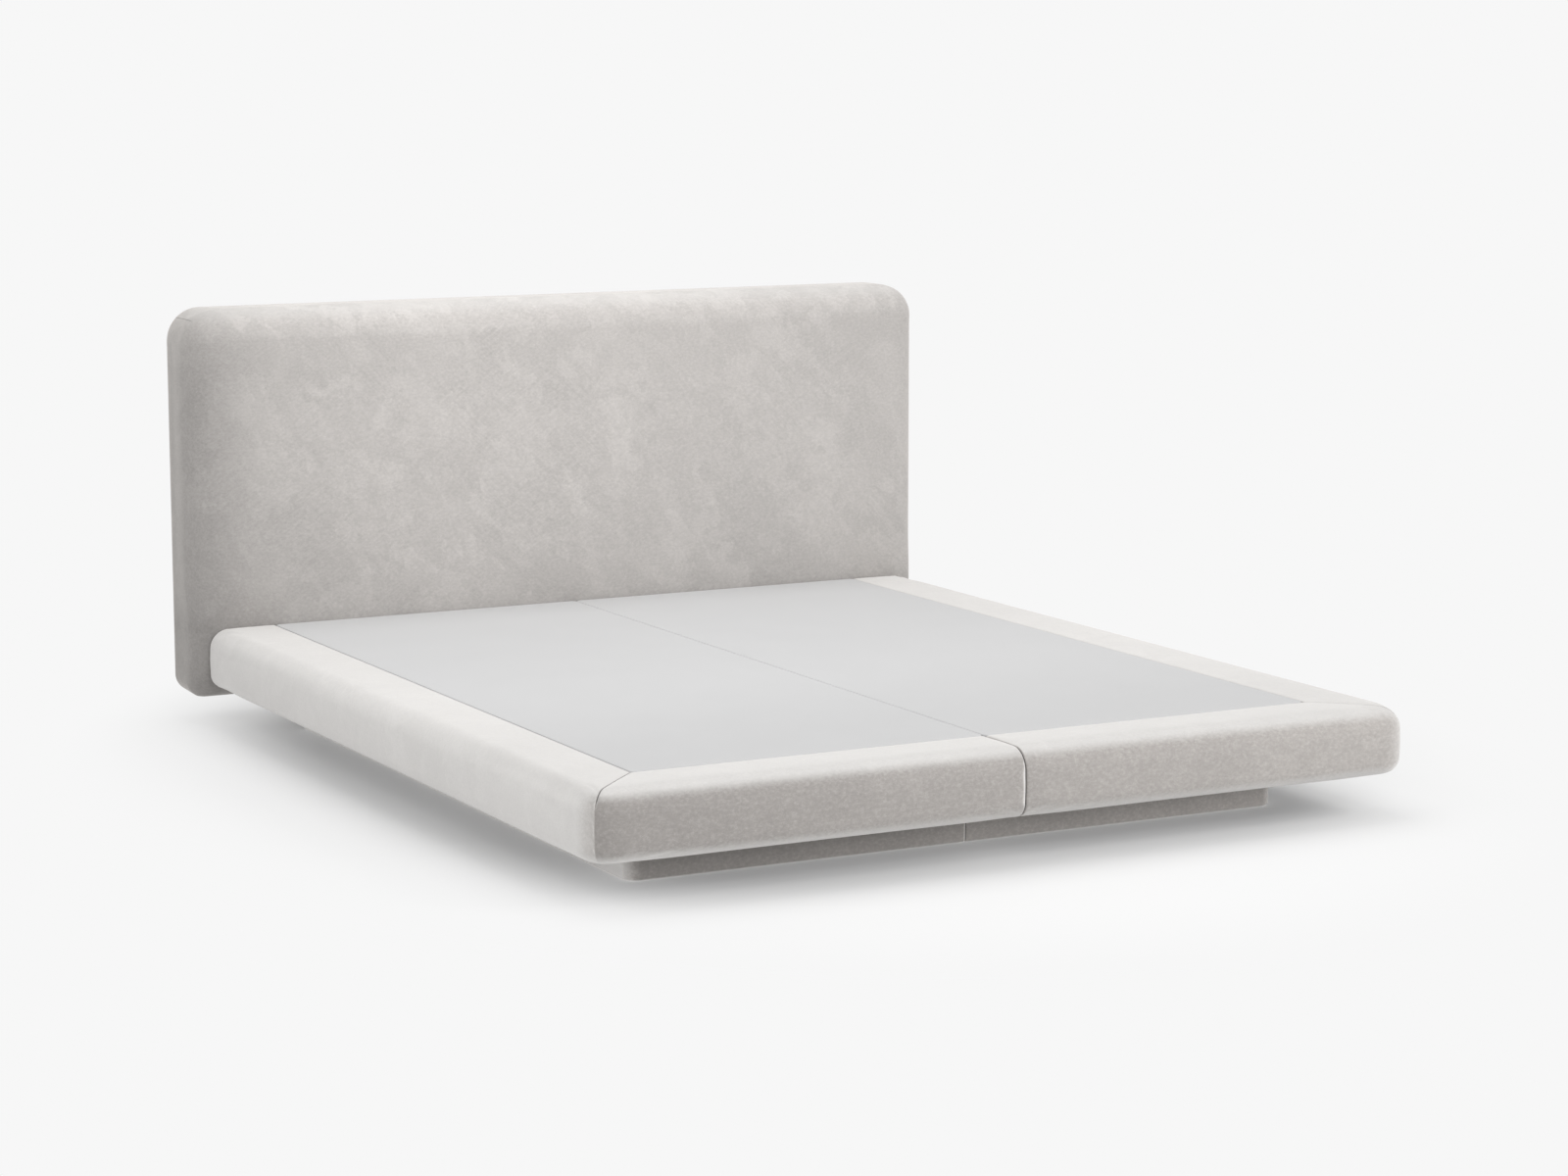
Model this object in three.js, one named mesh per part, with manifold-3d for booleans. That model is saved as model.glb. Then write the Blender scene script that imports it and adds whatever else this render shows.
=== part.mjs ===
// Upholstered platform bed: two separate halves on recessed plinths, joined by a padded headboard.
// Millimetres, +Z up, the head towards +Y. The origin is on the floor under the middle of the bed.

import * as THREE from 'three';
import { mergeVertices } from 'three/addons/utils/BufferGeometryUtils.js';
import Module from 'manifold-3d';

const wasm = await Module();
wasm.setup();

// Clearances
const SEAT_GAP = 0.3; // between pieces that rest on or beside each other
const HALVES_GAP = 2; // between the two halves of the bed
const HOLE_PLAY = 0.5; // round a bolt or a pin, and past its end
const CUT_OVERRUN = 3; // how far a cutting tool runs past a face

// Mattress field
const MATTRESS_WIDTH = 1600;
const MATTRESS_LENGTH = 2000;
const MATTRESS_PLAY = 10; // spare length between the mattress and the headboard

// Platform with its padded border on both sides and at the foot
const PLATFORM_HEIGHT = 145;
const BORDER_WIDTH = 170;
const PLAN_CORNER = 74; // radius of the outer foot corners seen from above
const BORDER_TOP_ROUND = 48;
const BORDER_BOTTOM_ROUND = 36;
const BORDER_INNER_ROLL = 6; // small round beside the deck
const BORDER_CROWN = 1.5; // how far the top swells above its edges
const BORDER_BELLY = 2; // how far the outer face swells between its rounds
const BORDER_TURN_UNDER = 45; // width of the pad below the edge of the base board
const CENTRE_ROLL = 14; // rolled end of the foot pads at the split
const HEAD_ROLL = 6; // rolled end of the side pads at the headboard
const MITRE_ROLL = 4; // rolled edge along the sewn mitre
const MITRE_RUN_OUT = 16; // from a mitre's inner end to the first square section

// Box of the platform
const DUST_COVER = 1;
const DUST_COVER_INSET = 4;
const BASE_BOARD = 16;
const VENT_RADIUS = 35;
const VENT_COUNT = 4;
const RAIL_THICKNESS = 24;
const HEAD_RAIL_THICKNESS = 28;
const REBATE_WIDTH = 12;
const DECK_PAD = 30;
const DECK_PAD_ROLL = 4;
const DECK_PAD_CORNER = 7;
const DECK_PAD_LEAST_CORNER = 3;

// Bowed slats on their two tapes
const SLAT_COUNT = 13;
const SLAT_WIDTH = 63;
const SLAT_THICKNESS = 8;
const SLAT_BOW = 12;
const SLAT_END_PLAY = 2;
const SLAT_ROW_PLAY = 20; // from the foot and head rails to the first and last slat
const TAPE_WIDTH = 25;
const TAPE_THICKNESS = 2;
const TAPE_BITE = 0.5; // how deep the tape is pressed into the slats
const TAPE_PLACE_SHARES = [0.2, 0.8]; // of the slat's length

// Plinth
const PLINTH_HEIGHT = 92;
const PLINTH_SIDE_INSET = 192; // from the platform's outer side to the plinth's
const PLINTH_FOOT_INSET = 240;
const PLINTH_HEAD_INSET = 120; // from the headboard to the plinth
const PLINTH_CORNER = 34;
const PLINTH_PAD = 12;
const PLINTH_PAD_ROUND = 9;
const PLINTH_ROLL = 5; // rolled ends of the plinth's pads
const PLINTH_BOARD = 22;

// Glides nailed under the plinth
const GLIDE_HEIGHT = 3;
const GLIDE_RADIUS = 15;
const GLIDE_ROUND = 1.5;
const GLIDE_PIN_RADIUS = 2.5;
const GLIDE_PIN_LENGTH = 16;
const GLIDE_FROM_END = 90;

// Plate that joins the halves at the foot
const PLATE_LENGTH = 140;
const PLATE_WIDTH = 60;
const PLATE_THICKNESS = 3;
const PLATE_CORNER = 8;
const PLATE_HOLE_RADIUS = 2.75;
const PLATE_HOLE_INSET = 15;
const PLATE_SETBACK = 90; // from the platform's foot face to the plate

// Headboard
const HEADBOARD_OVERHANG = 30; // past the platform at each side
const HEADBOARD_THICKNESS = 200;
const HEADBOARD_HEIGHT = 937;
const HEADBOARD_CLEARANCE = 68; // above the floor
const HEADBOARD_ROUND = 68; // front edges
const HEADBOARD_REAR_ROUND = 40;
const HEADBOARD_TOP_CORNER = 82;
const HEADBOARD_BOTTOM_CORNER = 45;
const HEADBOARD_LEAST_CORNER = 4;
const HEADBOARD_CROWN = 4; // how far the middle of the face swells
const CROWN_MARGIN = 10; // from the platform's top to where the swelling starts
const CROWN_FLAT = 90; // half the height of its flat middle
const EDGE_PAD = 70;
const EDGE_MITRE_ROLL = 2;
const FRONT_PANEL = 10;
const FRAME_DEPTH = 84;
const FRAME_BOARD = 24;
const MID_STILE_PLACE = 430; // from the middle of the bed
const BACK_COVER = 12;
const BACK_COVER_ROLL = 3;
const BACK_COVER_RECESS = 1;

// Blocks in the headboard's foam, and the bolts that hold them to the head rails
const BLOCK_LENGTH = 220;
const BLOCK_HEIGHT = 70;
const BLOCK_SKIN = 4; // foam and cover in front of the block
const BOLT_LEVEL = 68; // above the platform's underside
const BOLT_SPREAD = 140;
const BOLT_RADIUS = 4;
const BOLT_GRIP = 52; // length of thread in the block
const BOLT_HEAD_RADIUS = 7.5;
const BOLT_HEAD_HEIGHT = 5.3;
const WASHER_RADIUS = 12;
const WASHER_THICKNESS = 2;

// Levels and outlines that follow from the sizes above
const DECK_LENGTH = MATTRESS_LENGTH + MATTRESS_PLAY;
const BED_LENGTH = BORDER_WIDTH + DECK_LENGTH + HEADBOARD_THICKNESS;
const HALF_FIELD = MATTRESS_WIDTH / 2;
const HALF_PLATFORM = HALF_FIELD + BORDER_WIDTH;
const HEADBOARD_WIDTH = 2 * (HALF_PLATFORM + HEADBOARD_OVERHANG);
const SPLIT_X = HALVES_GAP / 2;
const DECK_FOOT_Y = BORDER_WIDTH - BED_LENGTH / 2;
const PLATFORM_BOTTOM = GLIDE_HEIGHT + PLINTH_HEIGHT;

const BOARD_BOTTOM = DUST_COVER + SEAT_GAP;
const BOARD_INSET = BORDER_TURN_UNDER + SEAT_GAP;
const BOX_FLOOR = BOARD_BOTTOM + BASE_BOARD + SEAT_GAP;
const DECK_PAD_BOTTOM = PLATFORM_HEIGHT - DECK_PAD;
const RAIL_TOP = DECK_PAD_BOTTOM - SEAT_GAP;
const REBATE_DEPTH = SLAT_BOW + SLAT_THICKNESS + SEAT_GAP;
const BOX_END_Y = DECK_LENGTH - SEAT_GAP;
const FIELD_SIDE_X = HALF_FIELD - RAIL_THICKNESS;
const FIELD_SPLIT_X = SPLIT_X + RAIL_THICKNESS;
const HEAD_RAIL_Y = BOX_END_Y - HEAD_RAIL_THICKNESS;

const PLINTH_HALF_WIDTH = HALF_PLATFORM - PLINTH_SIDE_INSET;
const PLINTH_FOOT_Y = PLINTH_FOOT_INSET - BORDER_WIDTH;
const PLINTH_LENGTH = DECK_LENGTH - PLINTH_HEAD_INSET - PLINTH_FOOT_Y;
const PLINTH_TOP = PLINTH_HEIGHT - SEAT_GAP;
const PLINTH_CORE_INSET = PLINTH_PAD + SEAT_GAP;
const PLINTH_CORE_X = PLINTH_HALF_WIDTH - PLINTH_CORE_INSET;

const BACK_COVER_FRONT = HEADBOARD_THICKNESS - BACK_COVER_RECESS - BACK_COVER;
const FRAME_FRONT = BACK_COVER_FRONT - SEAT_GAP - FRAME_DEPTH;
const FRONT_PANEL_FRONT = FRAME_FRONT - SEAT_GAP - FRONT_PANEL;
const FRONT_PAD_DEPTH = FRONT_PANEL_FRONT - SEAT_GAP;
const CORE_INSET = EDGE_PAD + SEAT_GAP;
const CORE_X = HEADBOARD_WIDTH / 2 - CORE_INSET;
const CORE_TOP = HEADBOARD_HEIGHT - CORE_INSET;
const BOLT_OFFSETS = {
  inner: MID_STILE_PLACE - BOLT_SPREAD / 2,
  outer: MID_STILE_PLACE + BOLT_SPREAD / 2,
};
const BOLT_Z = PLATFORM_BOTTOM + BOLT_LEVEL - HEADBOARD_CLEARANCE; // above the headboard's underside

// Finishes
const finish = (name, color, roughness, metalness = 0) =>
  new THREE.MeshStandardMaterial({ name, color, roughness, metalness });
const VELVET = finish('velvet', '#c9c6c2', 0.85);
const DECK_CLOTH = finish('deck_cloth', '#d6d6d7', 0.9);
const SOFTWOOD = finish('softwood', '#d9bd8f', 0.7);
const BEECH = finish('beech', '#d8b185', 0.55);
const PANEL_BOARD = finish('panel_board', '#b48f63', 0.75);
const DUST_CLOTH = finish('dust_cloth', '#2a2a2c', 0.95);
const STEEL = finish('steel', '#b9bcc0', 0.35, 1);
const GLIDE_PLASTIC = finish('glide_plastic', '#57544f', 0.6);

// Counts of facets and steps
const ARC_STEPS = 5;
const BOW_STEPS = 3;
const HOLE_STEPS = 8;
const ROLL_STEPS = 4;
const TOP_ROUND_STEPS = 7;
const BOTTOM_ROUND_STEPS = 5;
const INNER_ROLL_STEPS = 2;
const ROD_SIDES = 16;
const CROWN_SHARES = [0.25, 0.5, 0.75];

// A named piece in its group.
function addPiece(group, name, geometry, material, [x, y, z] = [0, 0, 0]) {
  const piece = new THREE.Mesh(geometry, material);
  piece.name = name;
  piece.position.set(x, y, z);
  group.add(piece);
}

// A closed geometry as a solid that can be cut and joined.
function toSolid(geometry) {
  const bare = geometry.clone();
  bare.deleteAttribute('normal');
  bare.deleteAttribute('uv');
  const welded = mergeVertices(bare);
  const vertProperties = new Float32Array(welded.attributes.position.array);
  const triVerts = new Uint32Array(welded.index.array);
  return new wasm.Manifold(new wasm.Mesh({ numProp: 3, vertProperties, triVerts }));
}

function toGeometry(solid) {
  const mesh = solid.getMesh();
  const geometry = new THREE.BufferGeometry();
  geometry.setAttribute('position', new THREE.BufferAttribute(mesh.vertProperties, 3));
  geometry.setIndex(new THREE.BufferAttribute(mesh.triVerts, 1));
  return geometry;
}

const cut = (body, tools) =>
  toGeometry(tools.reduce((rest, tool) => rest.subtract(toSolid(tool)), toSolid(body)));
const join = ([first, ...others]) =>
  toGeometry(others.reduce((sum, piece) => sum.add(toSolid(piece)), toSolid(first)));

// The same shape on the given side of the bed, with its faces still pointing out.
function handed(geometry, side) {
  if (side > 0) return geometry;
  const other = geometry.index ? geometry.toNonIndexed() : geometry.clone();
  const at = other.attributes.position;
  for (let i = 0; i < at.count; i += 3) {
    const corners = [0, 1, 2].map((k) => [-at.getX(i + k), at.getY(i + k), at.getZ(i + k)]);
    corners.reverse().forEach((corner, k) => at.setXYZ(i + k, ...corner));
  }
  return other;
}

// A board between two opposite corners.
function board([x0, y0, z0], [x1, y1, z1]) {
  const geometry = new THREE.BoxGeometry(x1 - x0, y1 - y0, z1 - z0);
  geometry.translate((x0 + x1) / 2, (y0 + y1) / 2, (z0 + z1) / 2);
  return geometry;
}

// A plan drawn in x and y, as thick as said, from z = 0 up.
function sheet(shape, thickness, curveSegments = ARC_STEPS) {
  return new THREE.ExtrudeGeometry(shape, { depth: thickness, bevelEnabled: false, curveSegments });
}

// A section drawn in x and z, run along +Y from y = 0.
function runAlongY(shape, length, curveSegments = ARC_STEPS) {
  const geometry = sheet(shape, length, curveSegments);
  geometry.rotateX(Math.PI / 2);
  geometry.translate(0, length, 0);
  return geometry;
}

// A round rod along +Y, or a tool that cuts its hole.
function rodAlongY(radius, length, [x, y, z], sides = ROD_SIDES) {
  const geometry = new THREE.CylinderGeometry(radius, radius, length, sides);
  geometry.translate(x, y + length / 2, z);
  return geometry;
}

// A rectangle with a radius of its own at each corner, as a shape.
function roundedShape([u0, u1], [v0, v1], { lowRight = 0, highRight = 0, highLeft = 0, lowLeft = 0 }) {
  const shape = new THREE.Shape();
  const quarter = Math.PI / 2;
  const corners = [
    [u1, v0, lowRight, -1],
    [u1, v1, highRight, 0],
    [u0, v1, highLeft, 1],
    [u0, v0, lowLeft, 2],
  ];
  for (const [u, v, radius, turn] of corners) {
    const centreU = u === u1 ? u - radius : u + radius;
    const centreV = v === v1 ? v - radius : v + radius;
    if (radius > 0) shape.absarc(centreU, centreV, radius, turn * quarter, (turn + 1) * quarter);
    else if (turn < 0) shape.moveTo(u, v);
    else shape.lineTo(u, v);
  }
  return shape;
}

// A rounded rectangle as a ring of points [u, v], drawn in by an inset; radii go round from high right.
function roundedRing([u0, u1], [v0, v1], radii, leastRadius, inset) {
  return radii.flatMap((radius, corner) => {
    const left = corner === 1 || corner === 2;
    const turned = Math.max(radius - inset, leastRadius);
    const centreU = left ? u0 + inset + turned : u1 - inset - turned;
    const centreV = corner > 1 ? v0 + inset + turned : v1 - inset - turned;
    return Array.from({ length: ARC_STEPS + 1 }, (_, i) => {
      const angle = (corner + i / ARC_STEPS) * (Math.PI / 2);
      return [centreU + turned * Math.cos(angle), centreV + turned * Math.sin(angle)];
    });
  });
}

// Faces turned over where the enclosed volume comes out negative.
function facingOut(geometry) {
  const loose = geometry.toNonIndexed().attributes.position;
  const [a, b, c] = [new THREE.Vector3(), new THREE.Vector3(), new THREE.Vector3()];
  let volume = 0;
  for (let i = 0; i < loose.count; i += 3) {
    a.fromBufferAttribute(loose, i);
    b.fromBufferAttribute(loose, i + 1);
    c.fromBufferAttribute(loose, i + 2);
    volume += a.dot(b.cross(c));
  }
  if (volume > 0) return geometry;
  const index = geometry.index.array;
  for (let i = 0; i < index.length; i += 3) [index[i], index[i + 2]] = [index[i + 2], index[i]];
  return geometry;
}

// Rings of equal point counts joined into one closed body; flatten gives a cap's outline in its plane.
function loft(rings, flatten) {
  const count = rings[0].length;
  const faces = [];
  for (let r = 0; r + 1 < rings.length; r += 1) {
    for (let i = 0; i < count; i += 1) {
      const j = (i + 1) % count;
      const [a, b, c, d] = [r * count + i, r * count + j, (r + 1) * count + j, (r + 1) * count + i];
      faces.push(a, b, c, a, c, d);
    }
  }
  const outline = rings[0].map(flatten);
  const lastStart = (rings.length - 1) * count;
  const turnsLeft = !THREE.ShapeUtils.isClockWise(outline);
  for (const [start, ring] of [[0, rings[0]], [lastStart, rings.at(-1)]]) {
    const reversed = (start === 0) === turnsLeft;
    for (const triangle of THREE.ShapeUtils.triangulateShape(ring.map(flatten), [])) {
      const [i, j, k] = triangle.map((n) => start + n);
      faces.push(...(reversed ? [k, j, i] : [i, j, k]));
    }
  }
  const geometry = new THREE.BufferGeometry();
  geometry.setAttribute('position', new THREE.Float32BufferAttribute(rings.flat(2), 3));
  geometry.setIndex(faces);
  return facingOut(geometry);
}

// Points of a quarter round between two compass angles, as section points [inset, height, give].
function quarterRound([d, h], radius, from, to, steps, give = 1) {
  return Array.from({ length: steps + 1 }, (_, i) => {
    const angle = THREE.MathUtils.degToRad(THREE.MathUtils.lerp(from, to, i / steps));
    return [d + radius * Math.cos(angle), h + radius * Math.sin(angle), give];
  });
}

// A section with its skin drawn in by an amount.
// Each point gives way by its own share, hidden ones by none.
function drawnIn(section, amount) {
  return section.map((point, i) => {
    const [d, h, give] = point;
    if (!give) return [d, h];
    const before = section.at(i - 1);
    const after = section[(i + 1) % section.length];
    const [d0, h0] = before[2] ? before : point;
    const [d1, h1] = after[2] ? after : point;
    const length = Math.hypot(d1 - d0, h1 - h0);
    return [d + (amount * give * (h1 - h0)) / length, h - (amount * give * (d1 - d0)) / length];
  });
}

// A rolled edge: how far along it each station lies, and how far the skin is drawn in there.
const ROLL_SHARES = Array.from({ length: ROLL_STEPS + 1 }, (_, i) => {
  const angle = ((i / ROLL_STEPS) * Math.PI) / 2;
  return { along: 1 - Math.cos(angle), inwards: 1 - Math.sin(angle) };
});

// Place [x, y] on the line at inset d of a mitred corner, a length s from the mitre.
function fromMitre(radius, d, s) {
  const arm = radius - d;
  if (arm <= 0) return [d + s, d];
  const arc = (arm * Math.PI) / 4;
  if (s >= arc) return [radius + s - arc, d];
  const angle = Math.PI / 4 - s / arm;
  return [radius - arm * Math.sin(angle), radius - arm * Math.cos(angle)];
}

// Stations of a mitred end: the rolled edge, then round the corner, then square to the run.
function mitredEnd(section, { radius, roll }, width) {
  const start = SEAT_GAP / Math.SQRT2;
  const rolled = ROLL_SHARES.map(({ along, inwards }) =>
    drawnIn(section, roll * inwards).map(([d, h]) => [...fromMitre(radius, d, start + roll * along), h]));
  const turned = Array.from({ length: ARC_STEPS }, (_, i) => section.map(([d, h]) => {
    const arc = (Math.max(radius - d, 0) * Math.PI) / 4;
    const stretch = Math.max(arc - start - roll, roll);
    return [...fromMitre(radius, d, start + roll + (stretch * (i + 1)) / ARC_STEPS), h];
  }));
  const square = section.map(([d, h]) => [Math.max(width, radius) + MITRE_RUN_OUT, d, h]);
  return [...rolled, ...turned, square];
}

// Stations of a square end, rolled over by a radius.
function squareEnd(section, { roll }) {
  return ROLL_SHARES.map(({ along, inwards }) =>
    drawnIn(section, roll * inwards).map(([d, h]) => [roll * along, d, h]));
}

// A padded run along +X. Its outer face is at y = 0, and y is the inset. An end with a radius is mitred.
function paddedRun(section, length, startEnd, endEnd) {
  const width = Math.max(...section.map(([d]) => d));
  const stationsOf = (end) =>
    (end.radius === undefined ? squareEnd(section, end) : mitredEnd(section, end, width));
  const last = stationsOf(endEnd).map((ring) => ring.map(([x, d, h]) => [length - x, d, h]));
  return loft([...stationsOf(startEnd), ...last.reverse()], ([, d, h]) => new THREE.Vector2(d, h));
}

// Section of the border: turned under the base board, full outer rounds, crowned top,
// rolled beside the deck.
function borderSection() {
  const width = BORDER_WIDTH - SEAT_GAP;
  const crownFrom = BORDER_BELLY + BORDER_TOP_ROUND;
  const crownTo = width - BORDER_INNER_ROLL;
  const bottomCentre = [BORDER_BELLY + BORDER_BOTTOM_ROUND, BORDER_BOTTOM_ROUND];
  const topCentre = [crownFrom, PLATFORM_HEIGHT - BORDER_TOP_ROUND];
  const rollCentre = [crownTo, PLATFORM_HEIGHT - BORDER_INNER_ROLL];
  const crown = CROWN_SHARES.map((share) => [
    THREE.MathUtils.lerp(crownFrom, crownTo, share),
    PLATFORM_HEIGHT + BORDER_CROWN * Math.sin(Math.PI * share),
    1,
  ]);
  const innerGiveShare = 0.4;
  return [
    [width, BOX_FLOOR, 0],
    [BORDER_TURN_UNDER, BOX_FLOOR, 0],
    [BORDER_TURN_UNDER, 0, 1],
    ...quarterRound(bottomCentre, BORDER_BOTTOM_ROUND, 270, 180, BOTTOM_ROUND_STEPS),
    [0, (bottomCentre[1] + topCentre[1]) / 2, 1],
    ...quarterRound(topCentre, BORDER_TOP_ROUND, 180, 90, TOP_ROUND_STEPS),
    ...crown,
    ...quarterRound(rollCentre, BORDER_INNER_ROLL, 90, 0, INNER_ROLL_STEPS, innerGiveShare),
  ];
}

// Plan of the base board, or of the dust cover under it, for the right half.
function basePlan(inset) {
  const outerX = HALF_PLATFORM - BOARD_INSET - inset;
  const footY = BOARD_INSET + inset - BORDER_WIDTH;
  const corner = Math.max(PLAN_CORNER - BOARD_INSET - inset, 0);
  return roundedShape([SPLIT_X + inset, outerX], [footY, BOX_END_Y - inset], { lowRight: corner });
}

function baseBoard() {
  const plan = basePlan(0);
  for (let i = 0; i < VENT_COUNT; i += 1) {
    const y = (PLINTH_LENGTH * (i + 1)) / (VENT_COUNT + 1) + PLINTH_FOOT_Y;
    plan.holes.push(new THREE.Path().absarc(PLINTH_HALF_WIDTH / 2, y, VENT_RADIUS, 0, 2 * Math.PI, true));
  }
  return sheet(plan, BASE_BOARD, HOLE_STEPS);
}

// A rail on edge with a rebate along its top that carries the ends of the slats.
function rebatedRail() {
  const height = RAIL_TOP - BOX_FLOOR;
  const section = new THREE.Shape();
  section.moveTo(0, 0);
  section.lineTo(RAIL_THICKNESS, 0);
  section.lineTo(RAIL_THICKNESS, height - REBATE_DEPTH);
  section.lineTo(RAIL_THICKNESS - REBATE_WIDTH, height - REBATE_DEPTH);
  section.lineTo(RAIL_THICKNESS - REBATE_WIDTH, height);
  section.lineTo(0, height);
  return runAlongY(section, BOX_END_Y);
}

// Beech slats bowed upwards, stapled to two tapes that keep them apart.
function slatRoll() {
  const endInset = RAIL_THICKNESS - REBATE_WIDTH + SLAT_END_PLAY;
  const x0 = SPLIT_X + endInset;
  const chord = HALF_FIELD - endInset - x0;
  const radius = (chord ** 2 / 4 + SLAT_BOW ** 2) / (2 * SLAT_BOW);
  const centreZ = SLAT_BOW - radius;
  const halfAngle = Math.asin(chord / 2 / radius);
  const [right, left] = [Math.PI / 2 - halfAngle, Math.PI / 2 + halfAngle];
  const bow = new THREE.Shape();
  bow.absarc(chord / 2, centreZ, radius, left, right, true);
  bow.absarc(chord / 2, centreZ, radius + SLAT_THICKNESS, right, left, false);
  const firstY = RAIL_THICKNESS + SLAT_ROW_PLAY;
  const lastY = HEAD_RAIL_Y - SLAT_ROW_PLAY - SLAT_WIDTH;
  const slats = Array.from({ length: SLAT_COUNT }, (_, i) => {
    const slat = runAlongY(bow, SLAT_WIDTH, BOW_STEPS);
    slat.translate(0, THREE.MathUtils.lerp(firstY, lastY, i / (SLAT_COUNT - 1)), 0);
    return slat;
  });
  const tapes = TAPE_PLACE_SHARES.map((share) => {
    const x = chord * share;
    const top = centreZ + Math.sqrt(radius ** 2 - (x - chord / 2) ** 2) + TAPE_BITE;
    const [low, high] = [x - TAPE_WIDTH / 2, x + TAPE_WIDTH / 2];
    return board([low, firstY, top - TAPE_THICKNESS], [high, lastY + SLAT_WIDTH, top]);
  });
  const roll = join([...tapes, ...slats]);
  roll.translate(x0, 0, 0);
  return roll;
}

// Cloth-covered lift-out pad that the mattress lies on, with rolled top edges.
function deckPad() {
  const xs = [SPLIT_X, HALF_FIELD - SEAT_GAP];
  const ys = [SEAT_GAP, BOX_END_Y];
  const radii = [DECK_PAD_CORNER, DECK_PAD_CORNER, DECK_PAD_CORNER, DECK_PAD_CORNER];
  const ringAt = (inset, z) =>
    roundedRing(xs, ys, radii, DECK_PAD_LEAST_CORNER, inset).map(([x, y]) => [x, y, z]);
  const rolled = ROLL_SHARES.map(({ along, inwards }) =>
    ringAt(DECK_PAD_ROLL * inwards, DECK_PAD - DECK_PAD_ROLL * along)).reverse();
  return loft([ringAt(0, 0), ...rolled], ([x, y]) => new THREE.Vector2(x, y));
}

function bolt() {
  const grip = HEAD_RAIL_THICKNESS + SEAT_GAP + BLOCK_SKIN + BOLT_GRIP;
  const headStart = -WASHER_THICKNESS - BOLT_HEAD_HEIGHT;
  const head = rodAlongY(BOLT_HEAD_RADIUS, BOLT_HEAD_HEIGHT, [0, headStart, 0], 6);
  const washer = rodAlongY(WASHER_RADIUS, WASHER_THICKNESS, [0, -WASHER_THICKNESS, 0]);
  const shankStart = -WASHER_THICKNESS - BOLT_HEAD_HEIGHT / 2;
  const shank = rodAlongY(BOLT_RADIUS, grip - shankStart, [0, shankStart, 0]);
  return join([head, washer, shank]);
}

function glide() {
  const top = GLIDE_HEIGHT - SEAT_GAP;
  const profile = [
    [0, 0],
    [GLIDE_RADIUS - GLIDE_ROUND, 0],
    [GLIDE_RADIUS, GLIDE_ROUND],
    [GLIDE_RADIUS, top],
    [GLIDE_PIN_RADIUS, top],
    [GLIDE_PIN_RADIUS, top + GLIDE_PIN_LENGTH],
    [0, top + GLIDE_PIN_LENGTH],
  ];
  const geometry = new THREE.LatheGeometry(profile.map(([r, z]) => new THREE.Vector2(r, z)), ROD_SIDES);
  geometry.rotateX(Math.PI / 2);
  return geometry;
}

// A cross board of the plinth, with holes for the pins of its two glides.
function glidedBoard(body, y) {
  const tools = [SPLIT_X + GLIDE_FROM_END, PLINTH_CORE_X - GLIDE_FROM_END].map((x) => {
    const depth = GLIDE_PIN_LENGTH + HOLE_PLAY + CUT_OVERRUN;
    const tool = new THREE.CylinderGeometry(
      GLIDE_PIN_RADIUS + HOLE_PLAY, GLIDE_PIN_RADIUS + HOLE_PLAY, depth, ROD_SIDES);
    tool.rotateX(Math.PI / 2);
    tool.translate(x, y, depth / 2 - CUT_OVERRUN);
    return tool;
  });
  return cut(body, tools);
}

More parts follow.
